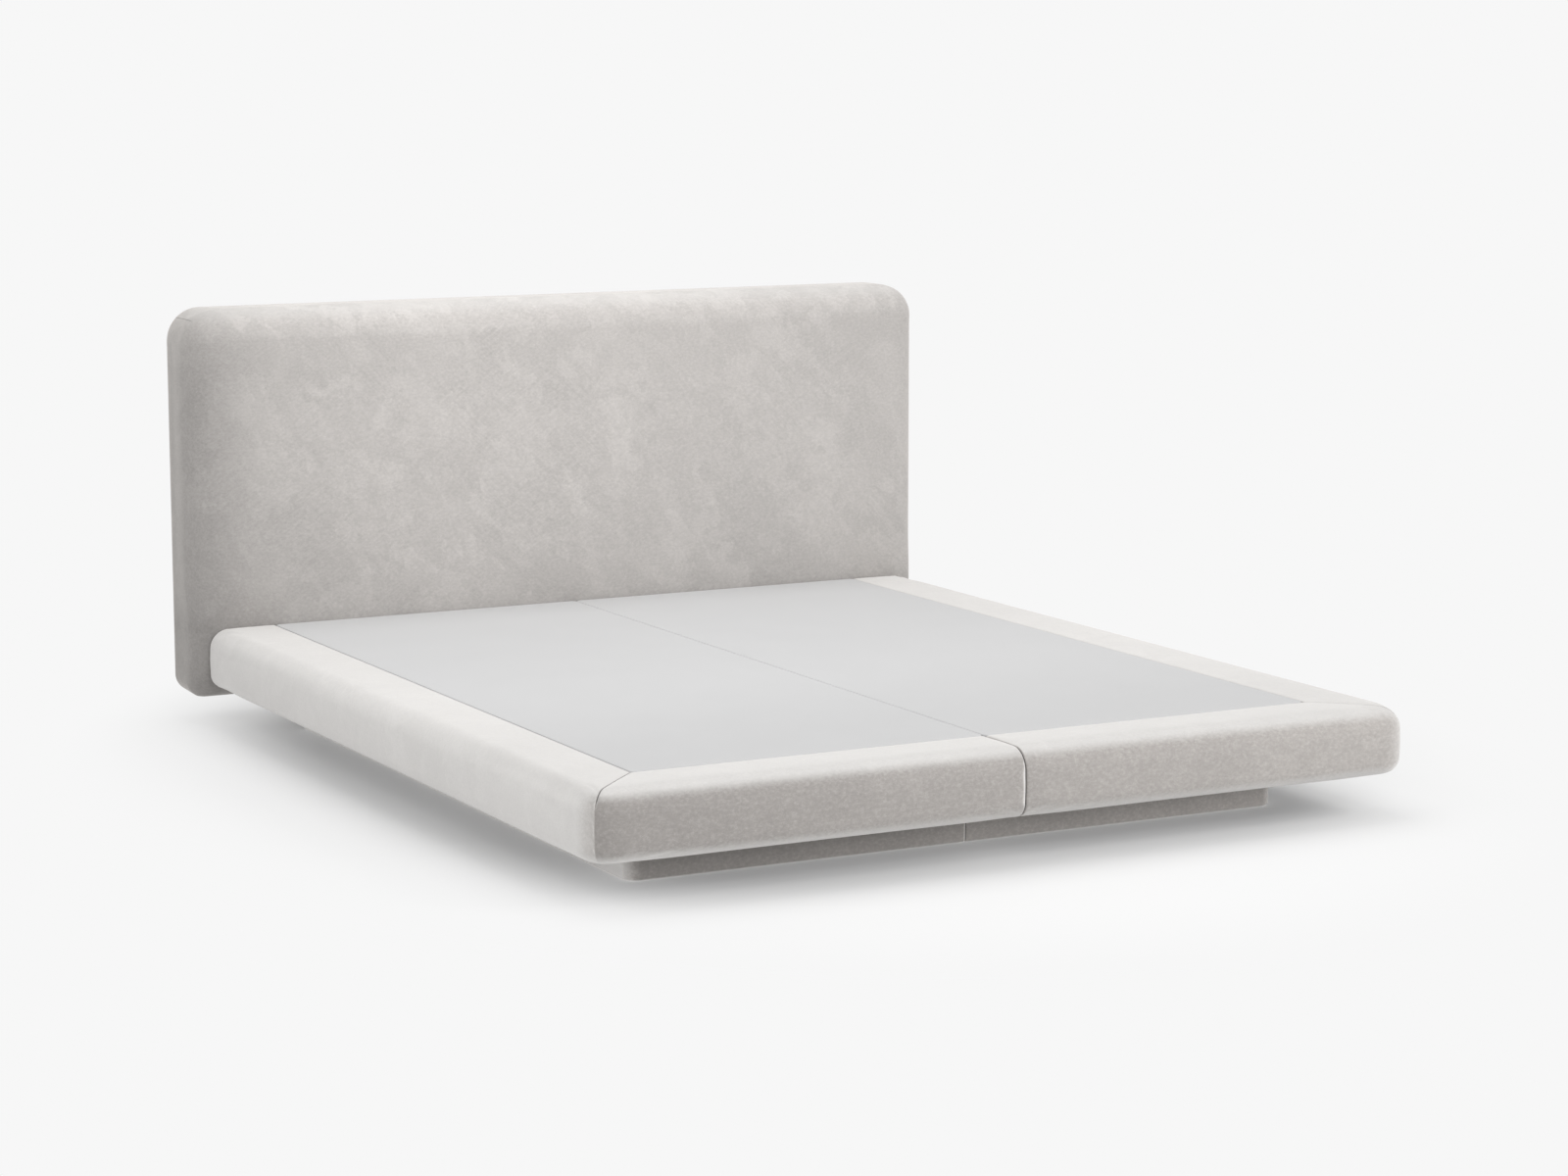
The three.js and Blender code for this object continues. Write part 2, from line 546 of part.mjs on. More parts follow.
// One half of the platform, in its own group: y = 0 is the mattress field's foot edge.
function addPlatformHalf(label, side) {
  const platform = new THREE.Group();
  platform.position.set(0, DECK_FOOT_Y, PLATFORM_BOTTOM);
  bed.add(platform);
  const add = (name, geometry, material, z = 0) =>
    addPiece(platform, `${label}_${name}`, handed(geometry, side), material, [0, 0, z]);

  add('dust_cover', sheet(basePlan(DUST_COVER_INSET), DUST_COVER), DUST_CLOTH);
  add('base_board', baseBoard(), PANEL_BOARD, BOARD_BOTTOM);

  const centreRail = rebatedRail();
  centreRail.translate(SPLIT_X, 0, 0);
  add('centre_rail', centreRail, SOFTWOOD, BOX_FLOOR);
  const sideRail = handed(rebatedRail(), -1);
  sideRail.translate(HALF_FIELD, 0, 0);
  add('side_rail', sideRail, SOFTWOOD, BOX_FLOOR);

  const [x0, x1] = [FIELD_SPLIT_X + SEAT_GAP, FIELD_SIDE_X - SEAT_GAP];
  add('foot_rail', board([x0, 0, BOX_FLOOR], [x1, RAIL_THICKNESS, RAIL_TOP]), SOFTWOOD);
  const boltHoles = Object.values(BOLT_OFFSETS).map((x) =>
    rodAlongY(BOLT_RADIUS + HOLE_PLAY, HEAD_RAIL_THICKNESS + 2 * CUT_OVERRUN,
      [x, HEAD_RAIL_Y - CUT_OVERRUN, BOLT_LEVEL]));
  const headRail = board([x0, HEAD_RAIL_Y, BOX_FLOOR], [x1, BOX_END_Y, RAIL_TOP]);
  add('head_rail', cut(headRail, boltHoles), SOFTWOOD);

  add('slat_roll', slatRoll(), BEECH, RAIL_TOP - REBATE_DEPTH + SEAT_GAP);
  add('deck_pad', deckPad(), DECK_CLOTH, DECK_PAD_BOTTOM);

  const section = borderSection();
  const mitre = { radius: PLAN_CORNER, roll: MITRE_ROLL };
  const sidePad = paddedRun(section, BORDER_WIDTH + BOX_END_Y, mitre, { roll: HEAD_ROLL });
  sidePad.rotateZ(Math.PI / 2);
  sidePad.translate(HALF_PLATFORM, -BORDER_WIDTH, 0);
  add('side_border_pad', sidePad, VELVET);
  const footPad = paddedRun(section, HALF_PLATFORM - SPLIT_X, { roll: CENTRE_ROLL }, mitre);
  footPad.translate(SPLIT_X, -BORDER_WIDTH, 0);
  add('foot_border_pad', footPad, VELVET);

  for (const [place, x] of Object.entries(BOLT_OFFSETS)) {
    addPiece(platform, `${label}_headboard_bolt_${place}`, bolt(), STEEL,
      [side * x, HEAD_RAIL_Y - SEAT_GAP, BOLT_LEVEL]);
  }
}

// One half of the plinth, in its own group: y = 0 is its foot face, z = 0 the underside of its boards.
function addPlinthHalf(label, side) {
  const plinth = new THREE.Group();
  plinth.position.set(0, DECK_FOOT_Y + PLINTH_FOOT_Y, GLIDE_HEIGHT);
  bed.add(plinth);
  const add = (name, geometry, material) =>
    addPiece(plinth, `${label}_${name}`, handed(geometry, side), material);

  const footBack = PLINTH_CORE_INSET + PLINTH_BOARD;
  const headFront = PLINTH_LENGTH - PLINTH_BOARD;
  const lowRight = Math.min(Math.max(PLINTH_CORNER - PLINTH_CORE_INSET, 0), PLINTH_BOARD);
  const footPlan = roundedShape([SPLIT_X, PLINTH_CORE_X], [PLINTH_CORE_INSET, footBack], { lowRight });
  const footBoard = sheet(footPlan, PLINTH_TOP);
  const headBoard = board([SPLIT_X, headFront, 0], [PLINTH_CORE_X, PLINTH_LENGTH, PLINTH_TOP]);
  add('plinth_foot_board', glidedBoard(footBoard, (PLINTH_CORE_INSET + footBack) / 2), PANEL_BOARD);
  add('plinth_head_board', glidedBoard(headBoard, (headFront + PLINTH_LENGTH) / 2), PANEL_BOARD);
  const [y0, y1] = [footBack + SEAT_GAP, headFront - SEAT_GAP];
  const sideBoard = board([PLINTH_CORE_X - PLINTH_BOARD, y0, 0], [PLINTH_CORE_X, y1, PLINTH_TOP]);
  add('plinth_side_board', sideBoard, PANEL_BOARD);
  const centreBoard = board([SPLIT_X, y0, 0], [SPLIT_X + PLINTH_BOARD, y1, PLINTH_TOP]);
  add('plinth_centre_board', centreBoard, PANEL_BOARD);

  const roundCentre = [PLINTH_PAD_ROUND, PLINTH_PAD_ROUND];
  const section = [
    [PLINTH_PAD, PLINTH_TOP, 0],
    [PLINTH_PAD, 0, 0],
    ...quarterRound(roundCentre, PLINTH_PAD_ROUND, 270, 180, INNER_ROLL_STEPS + 1),
    [0, PLINTH_TOP, 1],
  ];
  const mitre = { radius: PLINTH_CORNER, roll: SEAT_GAP };
  const sidePad = paddedRun(section, PLINTH_LENGTH, mitre, { roll: PLINTH_ROLL });
  sidePad.rotateZ(Math.PI / 2);
  sidePad.translate(PLINTH_HALF_WIDTH, 0, 0);
  add('plinth_side_pad', sidePad, VELVET);
  const footPad = paddedRun(section, PLINTH_HALF_WIDTH - SPLIT_X, { roll: PLINTH_ROLL }, mitre);
  footPad.translate(SPLIT_X, 0, 0);
  add('plinth_foot_pad', footPad, VELVET);

  const glideXs = { inner: SPLIT_X + GLIDE_FROM_END, outer: PLINTH_CORE_X - GLIDE_FROM_END };
  const glideYs = { foot: (PLINTH_CORE_INSET + footBack) / 2, head: (headFront + PLINTH_LENGTH) / 2 };
  for (const [end, y] of Object.entries(glideYs)) {
    for (const [place, x] of Object.entries(glideXs)) {
      const name = `${label}_glide_${end}_${place}`;
      addPiece(plinth, name, glide(), GLIDE_PLASTIC, [side * x, y, -GLIDE_HEIGHT]);
    }
  }
}

// Steel plate screwed under both base boards, in front of the plinth.
function addConnectorPlate() {
  const [halfLength, halfWidth] = [PLATE_LENGTH / 2, PLATE_WIDTH / 2];
  const [lowRight, highRight, highLeft, lowLeft] = Array(4).fill(PLATE_CORNER);
  const corners = { lowRight, highRight, highLeft, lowLeft };
  const plan = roundedShape([-halfLength, halfLength], [-halfWidth, halfWidth], corners);
  for (const side of [-1, 1]) {
    for (const end of [-1, 1]) {
      const x = side * (halfLength - PLATE_HOLE_INSET);
      const y = end * (halfWidth - PLATE_HOLE_INSET);
      plan.holes.push(new THREE.Path().absarc(x, y, PLATE_HOLE_RADIUS, 0, 2 * Math.PI, true));
    }
  }
  const y = DECK_FOOT_Y - BORDER_WIDTH + PLATE_SETBACK + halfWidth;
  addPiece(bed, 'foot_connector_plate', sheet(plan, PLATE_THICKNESS), STEEL,
    [0, y, PLATFORM_BOTTOM - SEAT_GAP - PLATE_THICKNESS]);
}

// Front of the headboard: full round edges, a face that swells slightly above the platform.
function headboardFrontPad() {
  const [top, bottom] = [HEADBOARD_TOP_CORNER, HEADBOARD_BOTTOM_CORNER];
  const radii = [top, top, bottom, bottom];
  const xs = [-HEADBOARD_WIDTH / 2, HEADBOARD_WIDTH / 2];
  const zs = [0, HEADBOARD_HEIGHT];
  const ringAt = (inset, y) =>
    roundedRing(xs, zs, radii, HEADBOARD_LEAST_CORNER, inset).map(([x, z]) => [x, y, z]);
  const rounded = Array.from({ length: TOP_ROUND_STEPS + 1 }, (_, i) => {
    const angle = ((i / TOP_ROUND_STEPS) * Math.PI) / 2;
    return ringAt(HEADBOARD_ROUND * (1 - Math.cos(angle)), HEADBOARD_ROUND * (1 - Math.sin(angle)));
  });
  const platformTop = PLATFORM_BOTTOM + PLATFORM_HEIGHT + BORDER_CROWN;
  const crownFrom = platformTop + CROWN_MARGIN - HEADBOARD_CLEARANCE;
  const crownTo = HEADBOARD_HEIGHT / 2 - CROWN_FLAT;
  const swollen = [0, ...CROWN_SHARES, 1].map((share) => {
    const swell = HEADBOARD_CROWN * Math.sin((share * Math.PI) / 2);
    return ringAt(THREE.MathUtils.lerp(crownFrom, crownTo, share), -swell);
  });
  return loft([ringAt(0, FRONT_PAD_DEPTH), ...rounded, ...swollen], ([x, , z]) => new THREE.Vector2(x, z));
}

function addHeadboard() {
  const headboard = new THREE.Group();
  headboard.position.set(0, DECK_FOOT_Y + DECK_LENGTH, HEADBOARD_CLEARANCE);
  bed.add(headboard);
  const add = (name, geometry, material) => addPiece(headboard, name, geometry, material);

  const blockLow = BOLT_Z - BLOCK_HEIGHT / 2;
  const blockBetween = (side, clearance, front, back) => board(
    [side * MID_STILE_PLACE - BLOCK_LENGTH / 2 - clearance, front, blockLow - clearance],
    [side * MID_STILE_PLACE + BLOCK_LENGTH / 2 + clearance, back, blockLow + BLOCK_HEIGHT + clearance]);
  const boltHole = (x, front, depth) =>
    rodAlongY(BOLT_RADIUS + HOLE_PLAY, depth + CUT_OVERRUN, [x, front - CUT_OVERRUN, BOLT_Z]);

  const pockets = [-1, 1].map((side) =>
    blockBetween(side, SEAT_GAP, BLOCK_SKIN - SEAT_GAP, FRONT_PAD_DEPTH + CUT_OVERRUN));
  const skinHoles = [-1, 1].flatMap((side) =>
    Object.values(BOLT_OFFSETS).map((x) => boltHole(side * x, 0, BLOCK_SKIN)));
  add('headboard_front_pad', cut(headboardFrontPad(), [...pockets, ...skinHoles]), VELVET);

  for (const [label, side] of [['left', -1], ['right', 1]]) {
    const holes = Object.values(BOLT_OFFSETS).map((x) =>
      boltHole(side * x, BLOCK_SKIN, BOLT_GRIP + HOLE_PLAY));
    const block = blockBetween(side, 0, BLOCK_SKIN, FRONT_PAD_DEPTH);
    add(`headboard_${label}_block`, cut(block, holes), SOFTWOOD);
  }

  // Edge pads, mitred at the corners: each starts at the corner before it, going clockwise from the front.
  const depth = HEADBOARD_THICKNESS - FRONT_PAD_DEPTH - SEAT_GAP;
  const rearCentre = [HEADBOARD_REAR_ROUND, depth - HEADBOARD_REAR_ROUND];
  const section = [
    [EDGE_PAD, 0, 0],
    [0, 0, 1],
    ...quarterRound(rearCentre, HEADBOARD_REAR_ROUND, 180, 90, TOP_ROUND_STEPS),
    [EDGE_PAD, depth, 0],
  ];
  const top = { radius: HEADBOARD_TOP_CORNER, roll: EDGE_MITRE_ROLL };
  const bottom = { radius: HEADBOARD_BOTTOM_CORNER, roll: EDGE_MITRE_ROLL };
  const halfWidth = HEADBOARD_WIDTH / 2;
  const edges = [
    ['top', HEADBOARD_WIDTH, top, top, 0, -halfWidth, HEADBOARD_HEIGHT],
    ['right', HEADBOARD_HEIGHT, top, bottom, 1, halfWidth, HEADBOARD_HEIGHT],
    ['bottom', HEADBOARD_WIDTH, bottom, bottom, 2, halfWidth, 0],
    ['left', HEADBOARD_HEIGHT, bottom, top, 3, -halfWidth, 0],
  ];
  for (const [place, length, startCorner, endCorner, quarterTurns, x, z] of edges) {
    const pad = paddedRun(section, length, startCorner, endCorner);
    pad.rotateX(-Math.PI / 2);
    pad.rotateY((quarterTurns * Math.PI) / 2);
    pad.translate(x, FRONT_PAD_DEPTH + SEAT_GAP, z);
    add(`headboard_${place}_edge_pad`, pad, VELVET);
  }

  // Front panel, box frame and back cover inside the ring of edge pads
  const topCorner = Math.max(HEADBOARD_TOP_CORNER - CORE_INSET, 0);
  const bottomCorner = Math.max(HEADBOARD_BOTTOM_CORNER - CORE_INSET, 0);
  const lowCorners = { lowRight: bottomCorner, lowLeft: bottomCorner };
  const highCorners = { highRight: topCorner, highLeft: topCorner };
  const slab = ([low, high], corners, front, thickness) => {
    const geometry = runAlongY(roundedShape([-CORE_X, CORE_X], [low, high], corners), thickness);
    geometry.translate(0, front, 0);
    return geometry;
  };
  const frameBack = FRAME_FRONT + FRAME_DEPTH;
  const topRailSpan = [CORE_TOP - FRAME_BOARD, CORE_TOP];
  const bottomRailSpan = [CORE_INSET, CORE_INSET + FRAME_BOARD];
  const corners = { ...lowCorners, ...highCorners };
  const panel = slab([CORE_INSET, CORE_TOP], corners, FRONT_PANEL_FRONT, FRONT_PANEL);
  add('headboard_front_panel', panel, PANEL_BOARD);
  add('headboard_top_rail', slab(topRailSpan, highCorners, FRAME_FRONT, FRAME_DEPTH), SOFTWOOD);
  add('headboard_bottom_rail', slab(bottomRailSpan, lowCorners, FRAME_FRONT, FRAME_DEPTH), SOFTWOOD);
  const stileLow = CORE_INSET + FRAME_BOARD + SEAT_GAP;
  const stileHigh = CORE_TOP - FRAME_BOARD - SEAT_GAP;
  const stile = (x) =>
    board([x - FRAME_BOARD / 2, FRAME_FRONT, stileLow], [x + FRAME_BOARD / 2, frameBack, stileHigh]);
  add('headboard_left_stile', stile(FRAME_BOARD / 2 - CORE_X), SOFTWOOD);
  add('headboard_left_mid_stile', stile(-MID_STILE_PLACE), SOFTWOOD);
  add('headboard_right_mid_stile', stile(MID_STILE_PLACE), SOFTWOOD);
  add('headboard_right_stile', stile(CORE_X - FRAME_BOARD / 2), SOFTWOOD);

  // Back cover: cloth over a thin board, its rear edges rolled
  const [xs, zs] = [[-CORE_X, CORE_X], [CORE_INSET, CORE_TOP]];
  const radii = [topCorner, topCorner, bottomCorner, bottomCorner];
  const backRing = (inset, y) =>
    roundedRing(xs, zs, radii, HEADBOARD_LEAST_CORNER, inset).map(([x, z]) => [x, y, z]);
  const backFace = BACK_COVER_FRONT + BACK_COVER;
  const backRoll = ROLL_SHARES.map(({ along, inwards }) =>
    backRing(BACK_COVER_ROLL * inwards, backFace - BACK_COVER_ROLL * along)).reverse();
  const back = loft([backRing(0, BACK_COVER_FRONT), ...backRoll], ([x, , z]) => new THREE.Vector2(x, z));
  add('headboard_back_cover', back, VELVET);
}

const bed = new THREE.Group();
for (const [label, side] of [['left', -1], ['right', 1]]) {
  addPlatformHalf(label, side);
  addPlinthHalf(label, side);
}
addConnectorPlate();
addHeadboard();

export default bed;
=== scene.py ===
import math

import bpy
import numpy as np
from mathutils import Euler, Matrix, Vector


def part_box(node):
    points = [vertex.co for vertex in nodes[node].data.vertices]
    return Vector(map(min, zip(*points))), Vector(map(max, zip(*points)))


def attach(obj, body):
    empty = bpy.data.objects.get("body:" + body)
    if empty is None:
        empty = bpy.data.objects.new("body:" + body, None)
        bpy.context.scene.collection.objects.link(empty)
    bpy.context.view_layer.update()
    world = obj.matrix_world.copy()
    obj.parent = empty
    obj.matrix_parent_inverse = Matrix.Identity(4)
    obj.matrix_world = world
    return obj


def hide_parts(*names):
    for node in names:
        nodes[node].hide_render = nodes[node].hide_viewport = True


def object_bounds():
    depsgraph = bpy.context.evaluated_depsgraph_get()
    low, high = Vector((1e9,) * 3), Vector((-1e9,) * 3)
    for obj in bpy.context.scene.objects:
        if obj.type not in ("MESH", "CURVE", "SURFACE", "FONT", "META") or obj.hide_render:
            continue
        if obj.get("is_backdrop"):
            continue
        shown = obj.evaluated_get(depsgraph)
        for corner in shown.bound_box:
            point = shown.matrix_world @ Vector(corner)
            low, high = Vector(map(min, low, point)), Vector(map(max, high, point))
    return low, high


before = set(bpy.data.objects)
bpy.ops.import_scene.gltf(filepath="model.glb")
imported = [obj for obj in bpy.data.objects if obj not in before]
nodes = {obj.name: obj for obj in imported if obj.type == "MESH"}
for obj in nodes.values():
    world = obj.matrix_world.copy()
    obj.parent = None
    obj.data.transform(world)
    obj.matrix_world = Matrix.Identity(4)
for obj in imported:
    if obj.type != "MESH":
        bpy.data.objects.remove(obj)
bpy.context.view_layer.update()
MM = 0.001

# Camera: stands beyond the left foot corner a little above the headboard's top, so that the left
# side, the foot and the deck all show, and looks slightly down.
camera_data = bpy.data.cameras.new("camera")
camera_data.sensor_width = 36
camera_data.lens = 83.927
camera = bpy.data.objects.new("camera", camera_data)
camera.location = (-3.79805, -7.33615, 1.67468)
camera.rotation_euler = Euler((math.radians(90 - 8.7283), math.radians(0.012), math.radians(-27.8334)))
bpy.context.scene.collection.objects.link(camera)
bpy.context.scene.camera = camera


# Boards of the two plinths and the two base boards: raw chipboard, cut square and screwed
# together, out of sight behind the covers. The headboard's front panel is the same board.
def tree(name, roughness, specular=0.3, metallic=0.0):
    """An empty procedural material: its node tree and its Principled shader."""
    material = bpy.data.materials.new(name)
    material.use_nodes = True
    shader = material.node_tree.nodes["Principled BSDF"]
    shader.inputs["Roughness"].default_value = roughness
    shader.inputs["Specular IOR Level"].default_value = specular
    shader.inputs["Metallic"].default_value = metallic
    return material, material.node_tree, shader


def node(graph, kind, inputs=(), **settings):
    """One node with its settings; inputs pairs a socket with a value or with another node's output."""
    made = graph.nodes.new(kind)
    for key, value in settings.items():
        setattr(made, key, value)
    for socket, value in dict(inputs).items():
        if isinstance(value, bpy.types.NodeSocket):
            graph.links.new(value, made.inputs[socket])
        else:
            made.inputs[socket].default_value = value
    return made


def stretched(graph, scale, rotation=(0, 0, 0)):
    """Object coordinates turned by rotation in degrees, then scaled along each axis."""
    place = node(graph, "ShaderNodeTexCoord").outputs["Object"]
    turned = node(
        graph, "ShaderNodeMapping", {"Vector": place, "Rotation": [math.radians(a) for a in rotation]}
    )
    return node(graph, "ShaderNodeMapping", {"Vector": turned.outputs[0], "Scale": scale}).outputs[0]


def noise(graph, vector, scale, detail=2.0, roughness=0.5, distortion=0.0):
    """Fractal noise from 0 to 1 with its mean near a half."""
    settings = {"Scale": scale, "Detail": detail, "Roughness": roughness, "Distortion": distortion}
    return node(graph, "ShaderNodeTexNoise", {"Vector": vector, **settings}).outputs["Fac"]


def maths(graph, operation, *values, clamp=False):
    """One arithmetic step on numbers or sockets."""
    made = node(graph, "ShaderNodeMath", dict(enumerate(values)), operation=operation, use_clamp=clamp)
    return made.outputs[0]


def ramp(graph, fac, *stops):
    """A colour ramp through (place, colour) stops."""
    made = node(graph, "ShaderNodeValToRGB", {"Fac": fac})
    elements = made.color_ramp.elements
    while len(elements) < len(stops):
        elements.new(0.5)
    for element, (place, colour) in zip(elements, stops):
        element.position = place
        element.color = (*colour, 1)
    return made.outputs["Color"]


def surface(graph, shader, colour, height, strength, distance):
    """Gives the shader its colour, and small relief from a height between 0 and 1."""
    graph.links.new(colour, shader.inputs["Base Color"])
    made = node(graph, "ShaderNodeBump", {"Height": height, "Strength": strength, "Distance": distance})
    graph.links.new(made.outputs[0], shader.inputs["Normal"])


def dress(material, *names):
    """Gives the named CAD nodes a finish."""
    for name in names:
        for slot in nodes[name].material_slots:
            slot.material = material


def both(*names):
    """Names of the left and the right piece of each kind."""
    return [f"{side}_{name}" for side in ("left", "right") for name in names]


def chipboard_finish():
    """Pressed wood chips: small flat cells, each with its own shade, under a fine dusty grain."""
    material, graph, shader = tree("chipboard", 0.78)
    flat = stretched(graph, (1, 1, 2.2))
    chips = node(graph, "ShaderNodeTexVoronoi", {"Vector": flat, "Scale": 260.0, "Randomness": 1.0})
    shade = node(graph, "ShaderNodeSeparateColor", {"Color": chips.outputs["Color"]}).outputs["Red"]
    grain = noise(graph, flat, 900.0, 3.0, 0.6)
    mixed = maths(graph, "MULTIPLY_ADD", grain, 0.45, maths(graph, "MULTIPLY", shade, 0.55))
    colour = ramp(
        graph, mixed, (0.1, (0.27, 0.17, 0.09)), (0.5, (0.48, 0.33, 0.19)), (0.9, (0.68, 0.51, 0.33))
    )
    surface(graph, shader, colour, mixed, 0.25, 0.4 * MM)
    return material


chipboard = chipboard_finish()
dress(chipboard, *both("plinth_foot_board", "plinth_head_board", "plinth_side_board", "plinth_centre_board"))
dress(chipboard, *both("base_board"), "headboard_front_panel")


# Eight glides nailed under the plinth boards: moulded plastic discs with a fine sparked surface,
# dulled and scratched where they slide on the floor.
def moulded_finish():
    """Grey plastic: fine even grain, with faint straight scratches on top of it."""
    material, graph, shader = tree("moulded_plastic", 0.5, 0.4)
    grain = noise(graph, stretched(graph, (1, 1, 1)), 1800.0, 2.0)
    scratches = noise(graph, stretched(graph, (3000, 60, 60), (0, 0, 30)), 1.0, 1.0)
    worn = maths(graph, "MULTIPLY_ADD", scratches, 0.5, maths(graph, "MULTIPLY", grain, 0.5))
    colour = ramp(graph, worn, (0.3, (0.075, 0.07, 0.064)), (0.7, (0.135, 0.128, 0.118)))
    graph.links.new(maths(graph, "MULTIPLY_ADD", worn, 0.3, 0.38), shader.inputs["Roughness"])
    surface(graph, shader, colour, grain, 0.3, 0.15 * MM)
    return material


dress(moulded_finish(), *both("glide_foot_outer", "glide_foot_inner", "glide_head_outer", "glide_head_inner"))


# Rails, stiles and blocks: planed softwood, left bare. The grain runs along each piece, so there
# is one finish for pieces along X, one along Y and one along Z.
def softwood_finish(name, stretch):
    """Growth rings as a distorted wave across the grain, with fine fibres along it and rare dark flecks."""
    material, graph, shader = tree(name, 0.62)
    along = stretched(graph, stretch)
    rings = node(
        graph,
        "ShaderNodeTexWave",
        {"Vector": along, "Scale": 9.0, "Distortion": 5.0, "Detail": 2.5, "Detail Scale": 1.2},
        wave_type="RINGS",
    ).outputs["Fac"]
    fibres = noise(graph, along, 160.0, 3.0, 0.6)
    mixed = maths(graph, "MULTIPLY_ADD", rings, 0.6, maths(graph, "MULTIPLY", fibres, 0.4))
    colour = ramp(
        graph, mixed, (0.15, (0.72, 0.52, 0.29)), (0.55, (0.66, 0.45, 0.23)), (0.9, (0.48, 0.28, 0.12))
    )
    surface(graph, shader, colour, mixed, 0.2, 0.3 * MM)
    return material


softwood_x = softwood_finish("softwood_along_x", (0.08, 1, 1))
softwood_y = softwood_finish("softwood_along_y", (1, 0.08, 1))
softwood_z = softwood_finish("softwood_along_z", (1, 1, 0.08))
dress(softwood_y, *both("side_rail", "centre_rail"))
dress(softwood_x, *both("foot_rail", "head_rail"), "headboard_top_rail", "headboard_bottom_rail")
dress(softwood_x, "headboard_left_block", "headboard_right_block")
dress(softwood_z, "headboard_left_stile", "headboard_right_stile")
dress(softwood_z, "headboard_left_mid_stile", "headboard_right_mid_stile")


# Slat rolls: laminated beech, pressed into a bow and lacquered, stapled to woven tapes.
def beech_finish():
    """Straight fibres along X with the short dark flecks of beech, under a thin clear coat."""
    material, graph, shader = tree("beech", 0.42, 0.45)
    fibres = noise(graph, stretched(graph, (6, 90, 60)), 3.0, 4.0, 0.6, 0.4)
    flecks = noise(graph, stretched(graph, (60, 420, 200)), 2.0, 1.0)
    flecked = maths(graph, "GREATER_THAN", flecks, 0.63)
    colour = ramp(graph, fibres, (0.3, (0.50, 0.31, 0.16)), (0.7, (0.70, 0.49, 0.29)))
    dark = node(
        graph, "ShaderNodeMix", {6: colour, 7: (0.36, 0.20, 0.09, 1)}, data_type="RGBA", blend_type="MIX"
    )
    graph.links.new(maths(graph, "MULTIPLY", flecked, 0.35), dark.inputs[0])
    surface(graph, shader, dark.outputs[2], fibres, 0.12, 0.2 * MM)
    return material


dress(beech_finish(), *both("slat_roll"))


# Bolts with their washers, and the plate that joins the halves at the foot: zinc plated steel.
# The plate's four countersunk screws are modelled here.
def zinc_finish():
    """Bright plating: cloudy patches change the roughness, and fine brushing runs along X."""
    material, graph, shader = tree("zinc_plate", 0.35, 0.5, 1.0)
    cloud = noise(graph, stretched(graph, (1, 1, 1)), 60.0, 3.0)
    brushed = noise(graph, stretched(graph, (40, 1800, 1800)), 1.0, 2.0)
    mixed = maths(graph, "MULTIPLY_ADD", brushed, 0.4, maths(graph, "MULTIPLY", cloud, 0.6))
    colour = ramp(graph, mixed, (0.3, (0.50, 0.51, 0.53)), (0.7, (0.70, 0.70, 0.70)))
    graph.links.new(maths(graph, "MULTIPLY_ADD", mixed, 0.4, 0.15), shader.inputs["Roughness"])
    surface(graph, shader, colour, brushed, 0.1, 0.05 * MM)
    return material


zinc = zinc_finish()
dress(zinc, "foot_connector_plate", *both("headboard_bolt_inner", "headboard_bolt_outer"))


def new_piece(name, points, faces, materials, face_materials=None, sharp=50):
    """A mesh object of points and faces, smooth but for edges sharper than an angle, riding on the bed."""
    mesh = bpy.data.meshes.new(name)
    mesh.from_pydata(points.tolist(), [], faces)
    for material in materials:
        mesh.materials.append(material)
    if face_materials is not None:
        mesh.polygons.foreach_set("material_index", face_materials)
    mesh.shade_smooth()
    mesh.set_sharp_from_angle(angle=math.radians(sharp))
    mesh.update()
    piece = bpy.data.objects.new(name, mesh)
    bpy.context.scene.collection.objects.link(piece)
    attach(piece, "root")
    return piece


def ring_quads(count, around):
    """Quads between a count of rings that follow each other, each closed on itself with around points."""
    i, j = np.meshgrid(np.arange(count - 1), np.arange(around), indexing="ij")
    k = (j + 1) % around
    quads = np.stack([i * around + j, i * around + k, (i + 1) * around + k, (i + 1) * around + j], -1)
    return quads.reshape(-1, 4)


def turned(profile, sides):
    """Points of a profile of (radius, height) turned round Z, with quads and a face over each end."""
    angles = np.arange(sides) * 2 * np.pi / sides
    radius, height = np.array(profile).T
    x, y = np.outer(radius, np.cos(angles)), np.outer(radius, np.sin(angles))
    ring = np.stack([x, y, np.outer(height, np.ones(sides))], axis=-1)
    rows = len(profile)
    caps = [list(range(sides))[::-1], list(range((rows - 1) * sides, rows * sides))]
    return ring.reshape(-1, 3), ring_quads(rows, sides).tolist() + caps


def screw_heads(name, places, material):
    """Shallow domed heads with a cross recess, one at each place, facing down."""
    dome = [(4.6, -0.2), (4.5, -0.9), (3.9, -1.5), (2.6, -1.9), (1.2, -2.0), (1.1, -1.1), (0.3, -0.9)]
    shape, faces = turned([(r * MM, z * MM) for r, z in dome], 24)
    cross = np.abs(np.arctan2(shape[:, 1], shape[:, 0]) * 2 / np.pi % 1 - 0.5) > 0.4
    reach, sunk = 2.7 * MM, 0.7 * MM
    shape[cross & (np.hypot(shape[:, 0], shape[:, 1]) < reach), 2] += sunk
    points = (np.array(places)[:, None, :] + shape[None]).reshape(-1, 3)
    repeated = [[v + n * len(shape) for v in face[::-1]] for n in range(len(places)) for face in faces]
    return new_piece(name, points, repeated, [material], sharp=35)


